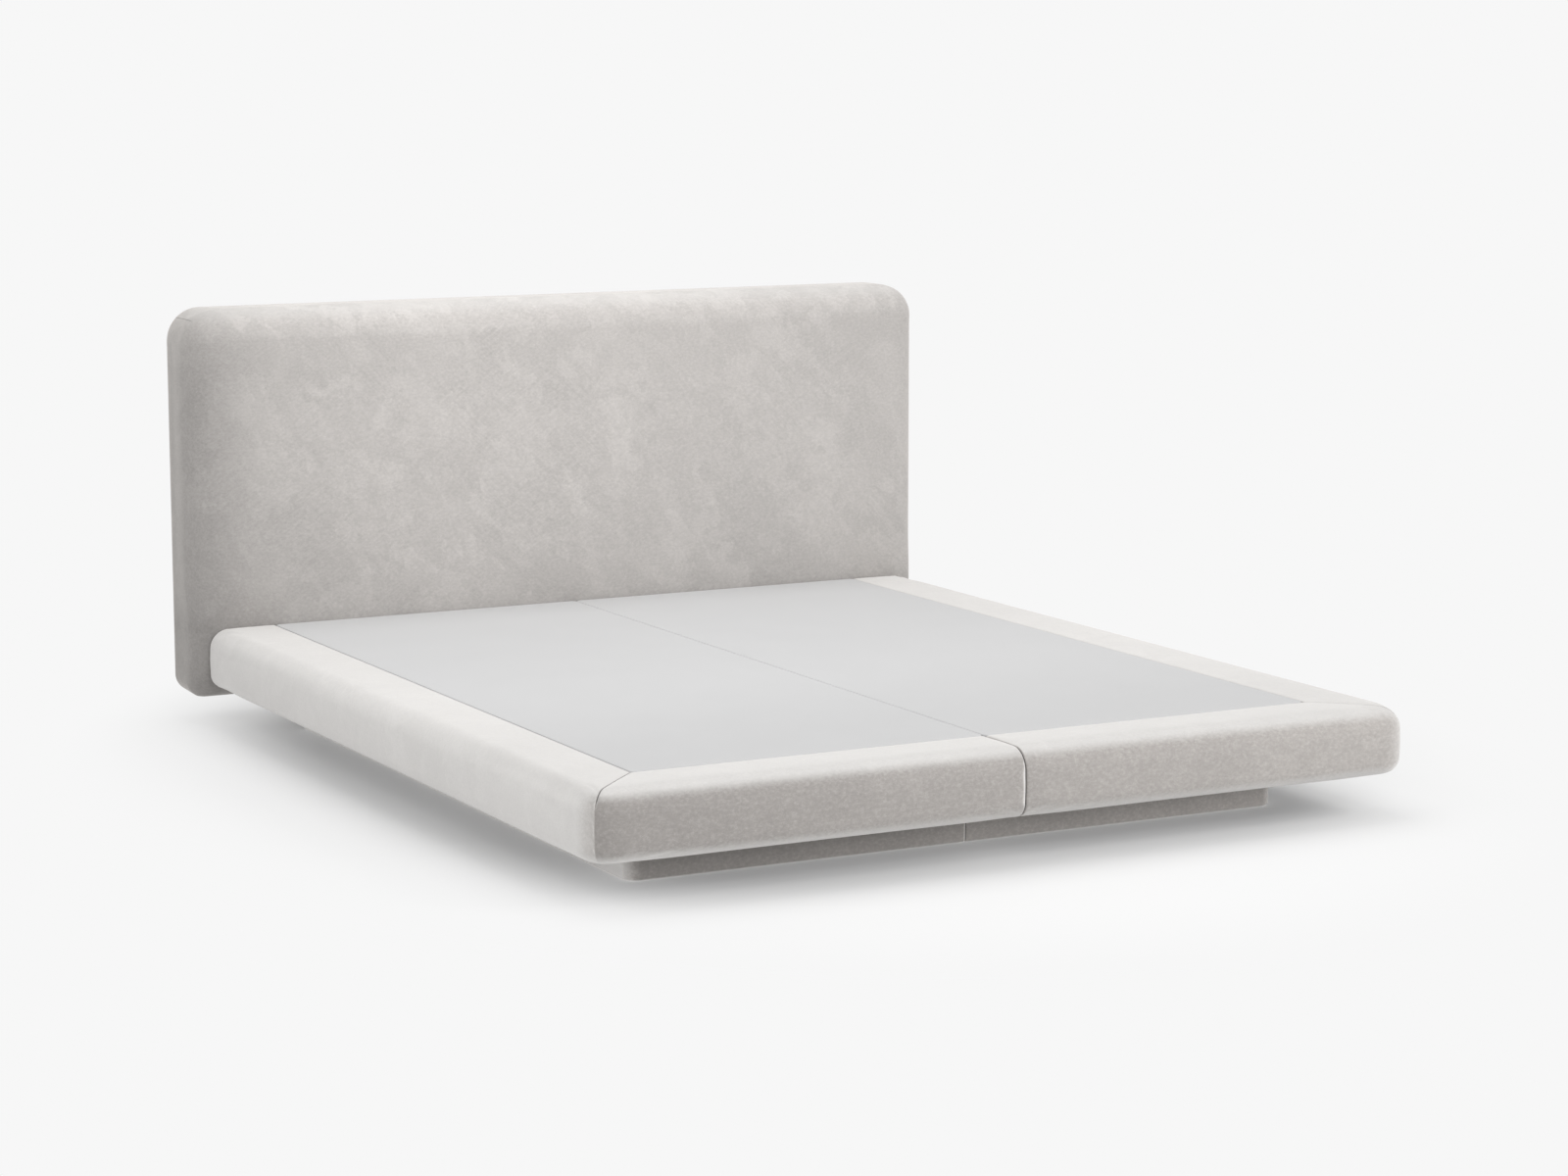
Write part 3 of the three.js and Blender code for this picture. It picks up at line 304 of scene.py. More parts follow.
plate_low, plate_high = (np.array(corner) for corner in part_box("foot_connector_plate"))
SCREW_INSET = 15 * MM
screw_x = plate_high[0] - SCREW_INSET
screw_y = [plate_low[1] + SCREW_INSET, plate_high[1] - SCREW_INSET]
plate_screws = screw_heads(
    "foot_plate_screws", [(x, y, plate_low[2]) for x in (-screw_x, screw_x) for y in screw_y], zinc
)


# Dust covers under the platform: thin black spun cloth, pressed in a pattern of small dots and
# held by a row of wire staples near its edge.
def dust_cloth_finish():
    """Spun cloth: rows of pressed dots as a product of two waves, over tangled fibres."""
    material, graph, shader = tree("spun_cloth", 0.9, 0.2)
    flat = stretched(graph, (1, 1, 1))
    split = node(graph, "ShaderNodeSeparateXYZ", {"Vector": flat})
    waves = [
        maths(graph, "SINE", maths(graph, "MULTIPLY", split.outputs[axis], 2 * math.pi / (2.4 * MM)))
        for axis in ("X", "Y")
    ]
    dots = maths(graph, "GREATER_THAN", maths(graph, "MULTIPLY", *waves), 0.55)
    fibres = noise(graph, flat, 700.0, 4.0, 0.7, 1.5)
    mixed = maths(graph, "SUBTRACT", fibres, maths(graph, "MULTIPLY", dots, 0.3), clamp=True)
    colour = ramp(graph, mixed, (0.2, (0.012, 0.012, 0.013)), (0.7, (0.045, 0.045, 0.047)))
    surface(graph, shader, colour, mixed, 0.5, 0.25 * MM)
    return material


dress(dust_cloth_finish(), *both("dust_cover"))


def staple_row(name, starts, ends, pitch, material):
    """Wire staples under the cloth along straight lines: a bar with both ends bent up, repeated by a pitch.
    wire and crown are half the wire's thickness and half the bar's length."""
    wire, crown, rise, bend, proud = 0.5 * MM, 5 * MM, 0.7 * MM, 0.3 * MM, 1.1 * MM
    bends = ((-crown, rise), (bend - crown, 0), (crown - bend, 0), (crown, rise))
    square = ((-1, -1), (1, -1), (1, 1), (-1, 1))
    bar = np.array([(u, a * wire, b * wire + lift - proud) for u, lift in bends for a, b in square])
    quads = ring_quads(4, 4)[:, [0, 3, 2, 1]]
    bar_faces = [*quads.tolist(), [0, 1, 2, 3], [15, 14, 13, 12]]
    points, faces = [], []
    for start, end in zip(np.array(starts, float), np.array(ends, float)):
        length = np.linalg.norm(end - start)
        along = (end - start) / length
        side = np.array([-along[1], along[0], 0])
        for at in np.arange(pitch / 2, length, pitch):
            placed = start + along * at + bar[:, :1] * along + bar[:, 1:2] * side + bar[:, 2:] * [0, 0, 1]
            faces += [[v + len(bar) * len(points) for v in face] for face in bar_faces]
            points.append(placed)
    return new_piece(name, np.concatenate(points), faces, [material], sharp=30)


STAPLE_INSET, STAPLE_PITCH = 9 * MM, 60 * MM
for side in ("left", "right"):
    low, high = (np.array(corner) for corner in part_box(f"{side}_dust_cover"))
    x0, y0, z0 = low + [STAPLE_INSET, STAPLE_INSET, 0]
    x1, y1, _ = high - [STAPLE_INSET, STAPLE_INSET, 0]
    corners = [(x0, y0, z0), (x1, y0, z0), (x1, y1, z0), (x0, y1, z0)]
    ends = [*corners[1:], corners[0]]
    staples = staple_row(f"{side}_dust_cover_staples", corners, ends, STAPLE_PITCH, zinc)


# Velvet covers. Each is cut from light warm-grey velvet over foam. Sheen and shade are painted on the
# pile: darker on the foot's upright faces, paler on the tops and along rolled edges. Whatever pressed on
# it has left faint marks.
def stored(graph, name):
    """A number stored on the points of a mesh under a name."""
    return node(graph, "ShaderNodeAttribute", attribute_name=name).outputs["Fac"]


def velvet_finish(name, streaks, marks, speckle, into, across, sheen, tint):
    """Pile: the into colour where the stored share of painted sheen is 0 and the across colour where it is 1,
    under a soft sheen from the shader as well. Pressed patches are leaf shaped cells with warped and
    feathered edges, a few of them much paler than the rest, crossed by short brushed strokes that slant both
    ways. A speckle and a fine grain are drawn out along the pile. Stored painted light and shade multiply the
    whole, and stored stitch values darken the stitched lines and paint shade into the gaps beside rolled
    ends."""
    material, graph, shader = tree(name, 0.85, 0.1)
    place = stretched(graph, (1.25, 1.25, 0.8), (0, 38, 0))
    warp = node(
        graph, "ShaderNodeTexNoise", {"Vector": place, "Scale": 5.0, "Detail": 7.0, "Roughness": 0.66}
    )
    push = node(
        graph, "ShaderNodeVectorMath", {0: warp.outputs["Color"], 1: (0.5, 0.5, 0.5)}, operation="SUBTRACT"
    ).outputs[0]
    push = node(graph, "ShaderNodeVectorMath", {0: push, "Scale": 0.3}, operation="SCALE").outputs[0]
    bent = node(graph, "ShaderNodeVectorMath", {0: place, 1: push}, operation="ADD").outputs[0]
    clouds = noise(graph, place, 3.2, 3.0, 0.55)
    value = maths(graph, "MULTIPLY_ADD", clouds, 0.10 * marks, 1.0 - 0.05 * marks)
    for scale, blend, depth in ((5.5, 0.2, 0.03), (12.0, 0.03, 0.075), (27.0, 0.0, 0.07)):
        cells = node(
            graph,
            "ShaderNodeTexVoronoi",
            {"Vector": bent, "Scale": scale, "Smoothness": blend},
            feature="SMOOTH_F1",
        )
        shade = node(graph, "ShaderNodeSeparateColor", {"Color": cells.outputs["Color"]}).outputs["Red"]
        few = maths(graph, "SUBTRACT", maths(graph, "POWER", shade, 2.0), 0.33)
        value = maths(graph, "MULTIPLY_ADD", few, depth * marks, value)
    for slant in (-44, 33):
        where = noise(graph, stretched(graph, (3, 3, 3), (slant, 0, 0)), 1.0, 2.0)
        where = maths(graph, "MULTIPLY", maths(graph, "SUBTRACT", where, 0.47), 6.0, clamp=True)
        stroke = noise(graph, stretched(graph, (13, 60, 170), (0, slant, 0)), 1.0, 3.0, 0.6, 1.2)
        stroke = maths(graph, "MULTIPLY", maths(graph, "SUBTRACT", stroke, 0.5), where)
        value = maths(graph, "MULTIPLY_ADD", stroke, 0.24 * marks, value)
    flecks = noise(graph, stretched(graph, (0.7, 1, 1)), 165.0, 4.0, 0.75)
    # Painted sheen: a stored share per point turns the pile towards its paler colour and softens the speckle.
    painted_sheen = stored(graph, "painted_sheen")
    contrast = maths(graph, "MULTIPLY_ADD", painted_sheen, -0.7 * speckle, speckle)
    flecks = maths(graph, "MULTIPLY", maths(graph, "SUBTRACT", flecks, 0.5), contrast)
    grain = noise(graph, stretched(graph, streaks), 1.0, 3.0, 0.7)
    grain = maths(graph, "MULTIPLY", maths(graph, "SUBTRACT", grain, 0.5), 0.2)
    value = maths(graph, "ADD", value, maths(graph, "ADD", grain, flecks))
    # Stored per point: darker stitched lines with painted shade in the gaps at rolled ends, and painted light
    # and shade.
    seam_and_gap_shade = stored(graph, "seam_and_gap_shade")
    painted_shading = stored(graph, "painted_shading")
    value = maths(graph, "MULTIPLY", value, maths(graph, "MULTIPLY_ADD", seam_and_gap_shade, -0.8, 1.0))
    value = maths(graph, "MULTIPLY", value, painted_shading)
    paler = maths(graph, "ADD", painted_sheen, flecks, clamp=True)
    pile = node(graph, "ShaderNodeMix", {0: paler, 6: (*into, 1), 7: (*across, 1)}, data_type="RGBA")
    colour = node(graph, "ShaderNodeHueSaturation", {"Value": value, "Color": pile.outputs[2]})
    shader.inputs["Sheen Weight"].default_value = sheen
    shader.inputs["Sheen Roughness"].default_value = 0.45
    shader.inputs["Sheen Tint"].default_value = (*tint, 1)
    relief = noise(graph, stretched(graph, streaks), 1.6, 2.0, 0.6)
    surface(graph, shader, colour.outputs[0], relief, 0.35, 0.35 * MM)
    return material


# The second colour of each velvet is the painted sheen on tops and rounds. The headboard's copy is paler
# where it faces out, with a weaker and creamier sheen.
DARK, PAINTED_SHEEN_COLOUR = (0.334, 0.315, 0.3), (0.575, 0.562, 0.548)
WHITE, CREAM = (1.0, 0.985, 0.965), (1.0, 0.96, 0.92)
velvet_along_x = velvet_finish("velvet_along_x", (220, 900, 900), 0.4, 0.55, DARK, PAINTED_SHEEN_COLOUR, 0.6, WHITE)
velvet_along_y = velvet_finish("velvet_along_y", (900, 220, 900), 0.4, 0.5, DARK, PAINTED_SHEEN_COLOUR, 0.6, WHITE)
velvet_headboard = velvet_finish(
    "velvet_headboard", (220, 900, 900), 1.0, 0.5, (0.505, 0.482, 0.464), (0.575, 0.557, 0.54), 0.45, CREAM
)


def smooth(t):
    """0 below 0 and 1 above 1, with an even curve between."""
    t = np.clip(t, 0, 1)
    return t * t * (3 - 2 * t)


def facing(piece, side=0):
    """How far each point of a piece faces up or down, and round towards its outer side, in degrees."""
    normals = np.empty(3 * len(piece.data.vertices), np.float32)
    piece.data.vertex_normals.foreach_get("vector", normals)
    x, y, z = normals.reshape(-1, 3).T
    return np.degrees(np.arcsin(np.clip(z, -1, 1))), np.degrees(np.arctan2(x * side, -y))


def foot_light_gradient(x):
    """Painted light on the foot's cloth: it pales slowly towards the right."""
    return 0.99 + 0.17 * x / (970 * MM)


def quarter(centre, radius, start, end, steps):
    """Points on a round from one compass angle to another, as (inset, height) rows."""
    angle = np.radians(np.linspace(start, end, steps + 1))
    return np.stack([centre[0] + radius * np.cos(angle), centre[1] + radius * np.sin(angle)], -1)


def line(start, end, steps, ends=(0, 1)):
    """Evenly spaced points on a straight line, with either end left out where ends says so."""
    share = np.linspace(0, 1, steps + 1)[ends[0] : steps + ends[1]]
    return np.array(start) + share[:, None] * (np.array(end) - np.array(start))


def section_normals(section, give):
    """Inward unit normals of a clockwise closed section, averaged over both edges that bend with the skin."""
    forward = np.roll(section, -1, 0) - section
    forward = forward / np.linalg.norm(forward, axis=1, keepdims=True)
    normal = np.stack([forward[:, 1], -forward[:, 0]], -1)
    soft = (give > 0) & (np.roll(give, -1) > 0)
    total = normal * soft[:, None] + np.roll(normal * soft[:, None], 1, 0)
    length = np.linalg.norm(total, axis=1, keepdims=True)
    return np.where(length > 1e-6, total / np.maximum(length, 1e-6), 0) * give[:, None]


def from_mitre(radius, inset, run):
    """Place on each inset line of a mitred corner, a run from the mitre: round the corner's arc first,
    then straight. Returns the distance along the side and across it."""
    arm = radius - inset
    arc = np.maximum(arm, 0) * np.pi / 4
    safe = np.maximum(arm, 1e-9)
    angle = np.pi / 4 - run / safe
    turning = (arm > 0) & (run < arc)
    beyond = np.where(arm > 0, radius + run - arc, inset + run)
    along = np.where(turning, radius - safe * np.sin(angle), beyond)
    across = np.where(turning, radius - safe * np.cos(angle), inset)
    return along, across


def mitred_side(section, give, radius, length, roll, square, step, seam_depth):
    """One side of a cover from its mitre to its rolled end: (along, across, height) of every section point at
    every station, how near each station is to the sewn mitre, and how much painted shade falls on the tight
    end's roll. seam_depth and roll hold one value per section point: how deep the stitches draw it in, and
    how round it goes over the end.
    The stations are square to the side from the distance square on, a step apart."""
    near = np.array([0, 0.5, 1.0, 1.6, 2.4, 3.4, 5, 7.5, 11]) * MM
    turn = np.linspace(0, 1, 19)[1:]
    widest = roll.max()
    straight = np.linspace(square, length - widest, max(int((length - widest - square) / step), 2) + 1)[1:]
    angle = np.radians(np.linspace(0, 90, 13))[1:, None]
    normals = section_normals(section, give)
    sewn = np.exp(-((near / (1.5 * MM)) ** 2))[:, None] * seam_depth
    plain = np.zeros((len(turn) + len(straight), len(section)))
    drawn = np.concatenate([sewn, plain, roll * (1 - np.cos(angle))])
    skin = section + drawn[..., None] * normals
    inset, height = skin[..., 0], skin[..., 1]
    arc = np.maximum(radius - inset, 0) * np.pi / 4
    whole = np.where(inset < radius, arc + square - radius, square - inset)
    run = np.zeros_like(inset)
    run[: len(near)] = near[:, None]
    corner = slice(len(near), len(near) + len(turn))
    run[corner] = near[-1] + (whole[corner] - near[-1]) * turn[:, None]
    along, across = from_mitre(radius, inset, run)
    evenly = np.repeat(straight[:, None], len(section), 1)
    along[corner.stop :] = np.concatenate([evenly, length - roll * (1 - np.sin(angle))])
    across[corner.stop :] = inset[corner.stop :]
    seam_and_gap_shade = np.zeros((2, len(along)))
    seam_and_gap_shade[0, : len(near)] = np.exp(-((near / (1.3 * MM)) ** 2))
    # Painted shade on the far part of the rolled end, where it turns into the gap.
    seam_and_gap_shade[1, corner.stop + len(straight) :] = 0.75 * smooth((angle[:, 0] - 0.9) / 0.65)
    return np.stack([along, across, height], -1), seam_and_gap_shade


def closed_tube(rows):
    """Quads between rings that close on themselves, and a face over each end, turned to face outwards."""
    count, around = rows.shape[:2]
    quads = ring_quads(count, around)
    points = rows.reshape(-1, 3)
    first, last = list(range(around))[::-1], list(range((count - 1) * around, count * around))
    corner = points[quads]
    volume = np.einsum("ij,ij->", corner[:, 0], np.cross(corner[:, 1], corner[:, 2]))
    volume += np.einsum("ij,ij->", corner[:, 0], np.cross(corner[:, 2], corner[:, 3]))
    if volume < 0:
        return points, quads[:, ::-1].tolist() + [first[::-1], last[::-1]]
    return points, quads.tolist() + [first, last]


def set_attribute(piece, name, values):
    """Stores one number per point under a name, for a material to read."""
    made = piece.data.attributes.new(name, "FLOAT", "POINT")
    made.data.foreach_set("value", np.asarray(values, np.float32))


def mitred_cover(name, section, give, corner, radius, lengths, rolls, square, step, seam_depth, side):
    """A padded run round one foot corner of the bed: the foot side reversed, then the long side, sharing the
    ring on the mitre. lengths and rolls are those of the foot side and the long side, and side is -1 for the
    left half. Where seam_depth is not nought, the stitched line shows above the outer round and fades down
    the face. The rolled ends get painted shade where they turn into the gaps. Returns the piece, which points
    belong to the foot side, and which are held in place: the rings at both ends and beside the mitre, and the
    section's points that give less than fully."""
    shown = smooth((section[:, 1] / section[:, 1].max() - 0.76) / 0.14) * (seam_depth > 0)
    depths = seam_depth * shown
    rolls = [roll * np.ones(len(section)) for roll in rolls]
    foot, foot_seam_and_shade = mitred_side(section, give, radius, lengths[0], rolls[0], square, step, depths)
    flank, flank_seam_and_shade = mitred_side(section, give, radius, lengths[1], rolls[1], square, step, depths)
    foot = np.stack([corner[0] - foot[..., 0], corner[1] + foot[..., 1], foot[..., 2]], -1)[::-1]
    flank = np.stack([corner[0] - flank[..., 1], corner[1] + flank[..., 0], flank[..., 2]], -1)[1:]
    rows = np.concatenate([foot, flank])
    rows[..., 0] *= side
    rows[..., 2] += corner[2]
    points, faces = closed_tube(rows)
    around = len(section)
    on_flank = np.repeat(np.arange(len(rows) - 1) >= len(foot) - 1, around).astype(int)
    piece = new_piece(
        name, points, faces, [velvet_along_x, velvet_along_y], np.append(on_flank, [0, 1]), sharp=60
    )
    # The stitched line at the mitre, and painted shade on the rolled ends.
    sewn, tight = np.concatenate([foot_seam_and_shade[:, ::-1], flank_seam_and_shade[:, 1:]], axis=1)
    set_attribute(piece, "seam_and_gap_shade", np.maximum(np.outer(sewn, shown), tight[:, None]).ravel())
    on_foot = np.repeat(np.arange(len(rows)) < len(foot), around)
    ring = np.arange(len(rows))
    at_end, at_mitre = 8, 4
    ended = (ring < at_end) | (ring >= len(rows) - at_end) | (np.abs(ring - len(foot) + 1) < at_mitre)
    return piece, on_foot, np.repeat(ended, around) | np.tile(give < 1, len(rows))


def points_of(piece):
    """The points of a piece, one row each."""
    flat = np.empty(3 * len(piece.data.vertices), np.float32)
    piece.data.vertices.foreach_get("co", flat)
    return flat.reshape(-1, 3)


def swell(piece, held, limit):
    """How far each point moves when the cover is simulated as cloth: a little pressure inside for twenty
    frames, no weight, and the held points pinned. Every move is drawn back below a limit, which may differ
    from point to point, by a hyperbolic tangent."""
    start = points_of(piece)
    pins = piece.vertex_groups.new(name="held")
    pins.add(np.flatnonzero(held).tolist(), 1.0, "REPLACE")
    cloth = piece.modifiers.new("cloth", "CLOTH")
    cloth.settings.vertex_group_mass = "held"
    cloth.settings.use_pressure = True
    cloth.settings.uniform_pressure_force = 4.0
    cloth.settings.quality = 3
    cloth.settings.effector_weights.gravity = 0
    last_frame = 20
    cloth.point_cache.frame_start, cloth.point_cache.frame_end = 1, last_frame
    scene = bpy.context.scene
    for frame_number in range(1, last_frame + 1):
        scene.frame_set(frame_number)
    end = points_of(piece.evaluated_get(bpy.context.evaluated_depsgraph_get()))
    piece.modifiers.remove(cloth)
    piece.vertex_groups.remove(pins)
    scene.frame_set(1)
    move = (end - start).astype(float)
    far = np.linalg.norm(move, axis=1, keepdims=True)
    limit = np.maximum(limit * np.ones(len(far)), 1e-6)[:, None]
    return move * limit * np.tanh(far / limit) / np.maximum(far, 1e-9)


def shift(piece, moves):
    """Moves the points of a mesh."""
    place = points_of(piece) + moves.astype(np.float32)
    piece.data.vertices.foreach_set("co", place.ravel())
    piece.data.update()


def paint_sheen_and_shading(piece, on_foot, side, tone, flank_shading, turned, split_highlight):
    """Paints sheen and shade onto a mitred cover. The painted sheen leaves it dark on the upright face of the
    foot and pale on top, under the lower round, round the corner on the long side, and on the left half's
    roll at the split. The painted light and shade pale the foot towards the right, darken the long side's top
    towards the foot and its face towards the head, and add a painted highlight on the roll at the split. tone
    holds one value per point. turned holds the bearings in degrees where the foot side and the long side
    start to pale, and over how many degrees. The last argument is how much paler the roll at the split is."""
    rise, turn = facing(piece, side)
    upright = (1 - smooth((rise - 29) / 39)) * (1 - smooth((-rise - 13) / 46))
    (foot_from, foot_over), (flank_from, flank_over) = turned
    corner = np.where(
        on_foot, smooth((turn - foot_from) / foot_over), smooth((turn - flank_from) / flank_over)
    )
    x, y, _ = points_of(piece).T
    at_split = smooth((-turn - 2) / 16) * smooth((12 * MM - np.abs(x)) / (4 * MM)) * (side < 0)
    # Painted sheen: pale on tops and rounds, round the corner and on the split roll.
    set_attribute(piece, "painted_sheen", 1 - upright * (1 - corner) * (1 - at_split))
    # Painted light and shade over the cover, with a painted highlight on the split roll.
    on_top = smooth((rise - 20) / 30)
    towards_foot, towards_head = smooth((-0.1 - y) / 0.9), smooth(y / 0.95)
    flank = flank_shading * (1 + (0.01 - 0.13 * towards_foot) * on_top)
    flank *= 1 - 0.07 * towards_head * (1 - on_top)
    top_shading = 0.9
    foot = top_shading + (foot_light_gradient(x) - top_shading) * upright
    set_attribute(piece, "painted_shading", tone * np.where(on_foot, foot * (1 + split_highlight * at_split), flank))


# Plinth covers: thin wadding and velvet glued round the plinth boards, one cover to each half,
# mitred at the foot corner and rolled over at the split and at the head end.
foot_low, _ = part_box("right_plinth_foot_pad")
flank_low, flank_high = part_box("right_plinth_side_pad")
SIDES = (("left", -1), ("right", 1))
PLINTH_PAD = 12 * MM
HEM, HEM_ROUND = 2.2 * MM, 7 * MM
plinth_height = flank_high[2] - flank_low[2]
plinth_section = np.concatenate(
    [
        line((PLINTH_PAD, plinth_height), (PLINTH_PAD, -HEM), 6, (0, 0)),
        line((PLINTH_PAD, -HEM), (HEM_ROUND, -HEM), 1, (0, 0)),
        quarter((HEM_ROUND, HEM_ROUND - HEM), HEM_ROUND, 270, 180, 8),
        line((0, HEM_ROUND - HEM), (0, plinth_height - 2 * MM), 10, (1, 1)),
        line((1.2 * MM, plinth_height), (PLINTH_PAD, plinth_height), 3, (0, 0)),
    ]
)
plinth_give = np.ones(len(plinth_section))
plinth_give[:7] = 0  # against the plinth board and under the hem
plinth_give[-3:] = 0  # against the base board
for side, sign in SIDES:
    cover, on_foot, held = mitred_cover(
        f"{side}_plinth_cover",
        plinth_section,
        plinth_give,
        corner=(flank_high[0], foot_low[1], flank_low[2]),
        radius=34 * MM,
        lengths=(flank_high[0] - foot_low[0], flank_high[1] - foot_low[1]),
        rolls=(3.5 * MM, 5 * MM),
        square=60 * MM,
        step=14 * MM,
        seam_depth=0,
        side=sign,
    )
    x, _, z = points_of(cover).T
    rise, bearing = facing(cover, sign)
    # Painted light and shade: paler low down, towards the right and round the corner, darker where the cover
    # faces down. The split roll gets a painted highlight.
    low_down = smooth((flank_high[2] - z) / (plinth_height * 0.9))
    round_corner = smooth(bearing / 45 - np.where(on_foot, 0, 1))
    tone = 1.47 + 0.15 * x / flank_high[0] + 0.45 * (low_down - 0.5)
    tone *= 1 + np.where(on_foot, 0.4, 0.1) * round_corner
    tone *= 1 - 0.12 * smooth(-rise / 30)
    paint_sheen_and_shading(cover, on_foot, sign, tone, flank_shading=1.2, turned=((15, 75), (15, 75)), split_highlight=0.9)
    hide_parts(f"{side}_plinth_foot_pad", f"{side}_plinth_side_pad")


# Deck pads: foam on a thin board under pale grey cloth, drawn tight and tacked below, so that the
# top is flat with a small roll round it. A pad lies loose in each half and lifts out.
def rounded_ring(box, radii, least, inset, arc_angles, edge_counts):
    """One ring of a rounded rectangle drawn in by an inset, from its high right corner round to the left:
    an arc of points at each corner, and evenly spaced points on the edges between."""
    (u0, u1), (v0, v1) = box
    parts = []
    for corner, radius in enumerate(radii):
        turned_radius = max(radius - inset, least)
        cu = u0 + inset + turned_radius if corner in (1, 2) else u1 - inset - turned_radius
        cv = v0 + inset + turned_radius if corner > 1 else v1 - inset - turned_radius
        angle = arc_angles + corner * np.pi / 2
        parts.append(np.stack([cu + turned_radius * np.cos(angle), cv + turned_radius * np.sin(angle)], -1))
    ring = []
    for corner in range(4):
        after = parts[(corner + 1) % 4][0]
        ring += [parts[corner], line(parts[corner][-1], after, edge_counts[corner % 2] + 1, (1, 0))]
    return np.concatenate(ring)


def at_depth(ring, depth):
    """A flat ring as points in space, all at one depth."""
    return np.column_stack([ring, np.full(len(ring), depth)])


def square_ring(box, inset, half_arc, reach, edge_counts):
    """A sharp rectangle with the same count of points as a rounded ring: its corners stand for the middles of
    the arcs, whose other points are spread along a reach of both edges. Also its columns and rows."""
    lines = []
    for (low, high), count in zip(box, edge_counts):
        low, high = low + inset, high - inset
        near = line([high], [high - reach], half_arc + 1, (0, 0))[:, 0]
        middle = line([high - reach], [low + reach], count + 1, (1, 0))[:, 0]
        near_end = np.append(line([low + reach], [low], half_arc + 1, (1, 0))[:, 0], low)
        lines.append(np.concatenate([near, middle, near_end]))
    columns, rows = lines
    top = np.stack([columns, np.full(len(columns), rows[0])], -1)
    left = np.stack([np.full(len(rows), columns[-1]), rows], -1)
    bottom = np.stack([columns[::-1], np.full(len(columns), rows[-1])], -1)
    right = np.stack([np.full(len(rows), columns[0]), rows[::-1]], -1)
    whole = np.concatenate([top[:-1], left[:-1], bottom[:-1], right[:-1]])
    return np.roll(whole, half_arc, 0), columns, rows


def slab_cover(rings, columns, rows_v, half_arc, face_depth, place):
    """Closed slab: quads between rings, a grid at the face's depth inside the last ring and one face over the
    first, all turned to face outwards. place puts (u, v, depth) into the bed's frame."""
    around = rings.shape[1]
    count = len(rings)
    quads = ring_quads(count, around)
    width, height = len(columns), len(rows_v)
    inside_u, inside_v = np.meshgrid(columns[1:-1], rows_v[1:-1])
    inside = np.stack([inside_u, inside_v, np.full(inside_u.shape, face_depth)], -1).reshape(-1, 3)
    start = (count - 1) * around
    border = start + np.roll(np.arange(around), -half_arc)
    index = np.zeros((height, width), int)
    index[0, :] = border[:width]
    index[1:, -1] = border[width : width + height - 1]
    index[-1, -2::-1] = border[width + height - 1 : 2 * width + height - 2]
    index[-2:0:-1, 0] = border[2 * width + height - 2 :]
    index[1:-1, 1:-1] = count * around + np.arange(inside.shape[0]).reshape(height - 2, width - 2)
    grid = np.stack([index[:-1, :-1], index[:-1, 1:], index[1:, 1:], index[1:, :-1]], -1).reshape(-1, 4)
    points = place(np.concatenate([rings.reshape(-1, 3), inside]))
    cap = list(range(around))[::-1]
    first, second, _, fourth = points[quads].transpose(1, 0, 2)
    normals = np.cross(second - first, fourth - first)
    faces = np.concatenate([quads, grid])
    if np.einsum("ij,ij->", first - points[cap].mean(0), normals) < 0:
        return points, faces[:, ::-1].tolist() + [cap[::-1]]
    return points, faces.tolist() + [cap]


def deck_cloth_finish():
    """Plain weave: two crossed waves a millimetre apart, their threads uneven, with faint lighter slubs."""
    material, graph, shader = tree("deck_cloth", 0.82, 0.15)
    flat = stretched(graph, (1, 1, 1))
    split = node(graph, "ShaderNodeSeparateXYZ", {"Vector": flat})
    wander = maths(graph, "MULTIPLY", noise(graph, flat, 35.0, 2.0), 1.2)
    threads = []
    for axis, scale in (("X", (900, 45, 200)), ("Y", (45, 900, 200))):
        phase = maths(graph, "MULTIPLY_ADD", split.outputs[axis], 2 * math.pi / (1.1 * MM), wander)
        wave = maths(graph, "MULTIPLY_ADD", maths(graph, "SINE", phase), 0.5, 0.5)
        slub = noise(graph, stretched(graph, scale), 1.0, 2.0)
        threads.append(maths(graph, "MULTIPLY", wave, maths(graph, "MULTIPLY_ADD", slub, 0.8, 0.6)))
    weave = maths(graph, "MULTIPLY", maths(graph, "ADD", *threads), 0.5)
    cloud = noise(graph, flat, 7.0, 3.0)
    painted_shading = stored(graph, "painted_shading")
    value = maths(graph, "MULTIPLY_ADD", weave, 0.10, 0.93)
    value = maths(graph, "ADD", value, maths(graph, "MULTIPLY", cloud, 0.04))
    value = maths(graph, "MULTIPLY", value, painted_shading)
    colour = node(graph, "ShaderNodeHueSaturation", {"Value": value, "Color": (0.546, 0.546, 0.548, 1)})
    shader.inputs["Sheen Weight"].default_value = 0.1
    shader.inputs["Sheen Roughness"].default_value = 0.5
    surface(graph, shader, colour.outputs[0], weave, 0.3, 0.25 * MM)
    return material


deck_cloth = deck_cloth_finish()
pad_low, pad_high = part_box("right_deck_pad")
half_arc = 5
arc = np.linspace(0, np.pi / 2, 2 * half_arc + 1)
counts = (70, 170)
pad_box = ((pad_low[0], pad_high[0]), (pad_low[1], pad_high[1]))
ROLL, PAD_CORNER = 2.5 * MM, 12 * MM
roll_angle = np.radians(np.linspace(0, 90, 7))
pad_profile = [
    (0, pad_low[2]),
    (0, (pad_low[2] + pad_high[2] - ROLL) / 2),
    *[(ROLL * (1 - math.cos(a)), pad_high[2] - ROLL * (1 - math.sin(a))) for a in roll_angle],
    (12 * MM, pad_high[2]),
]
pad_rings = [
    at_depth(rounded_ring(pad_box, [PAD_CORNER] * 4, 4 * MM, inset, arc, counts), z)
    for inset, z in pad_profile
]
last_ring, columns, rows_v = square_ring(pad_box, 40 * MM, half_arc, 40 * MM, counts)
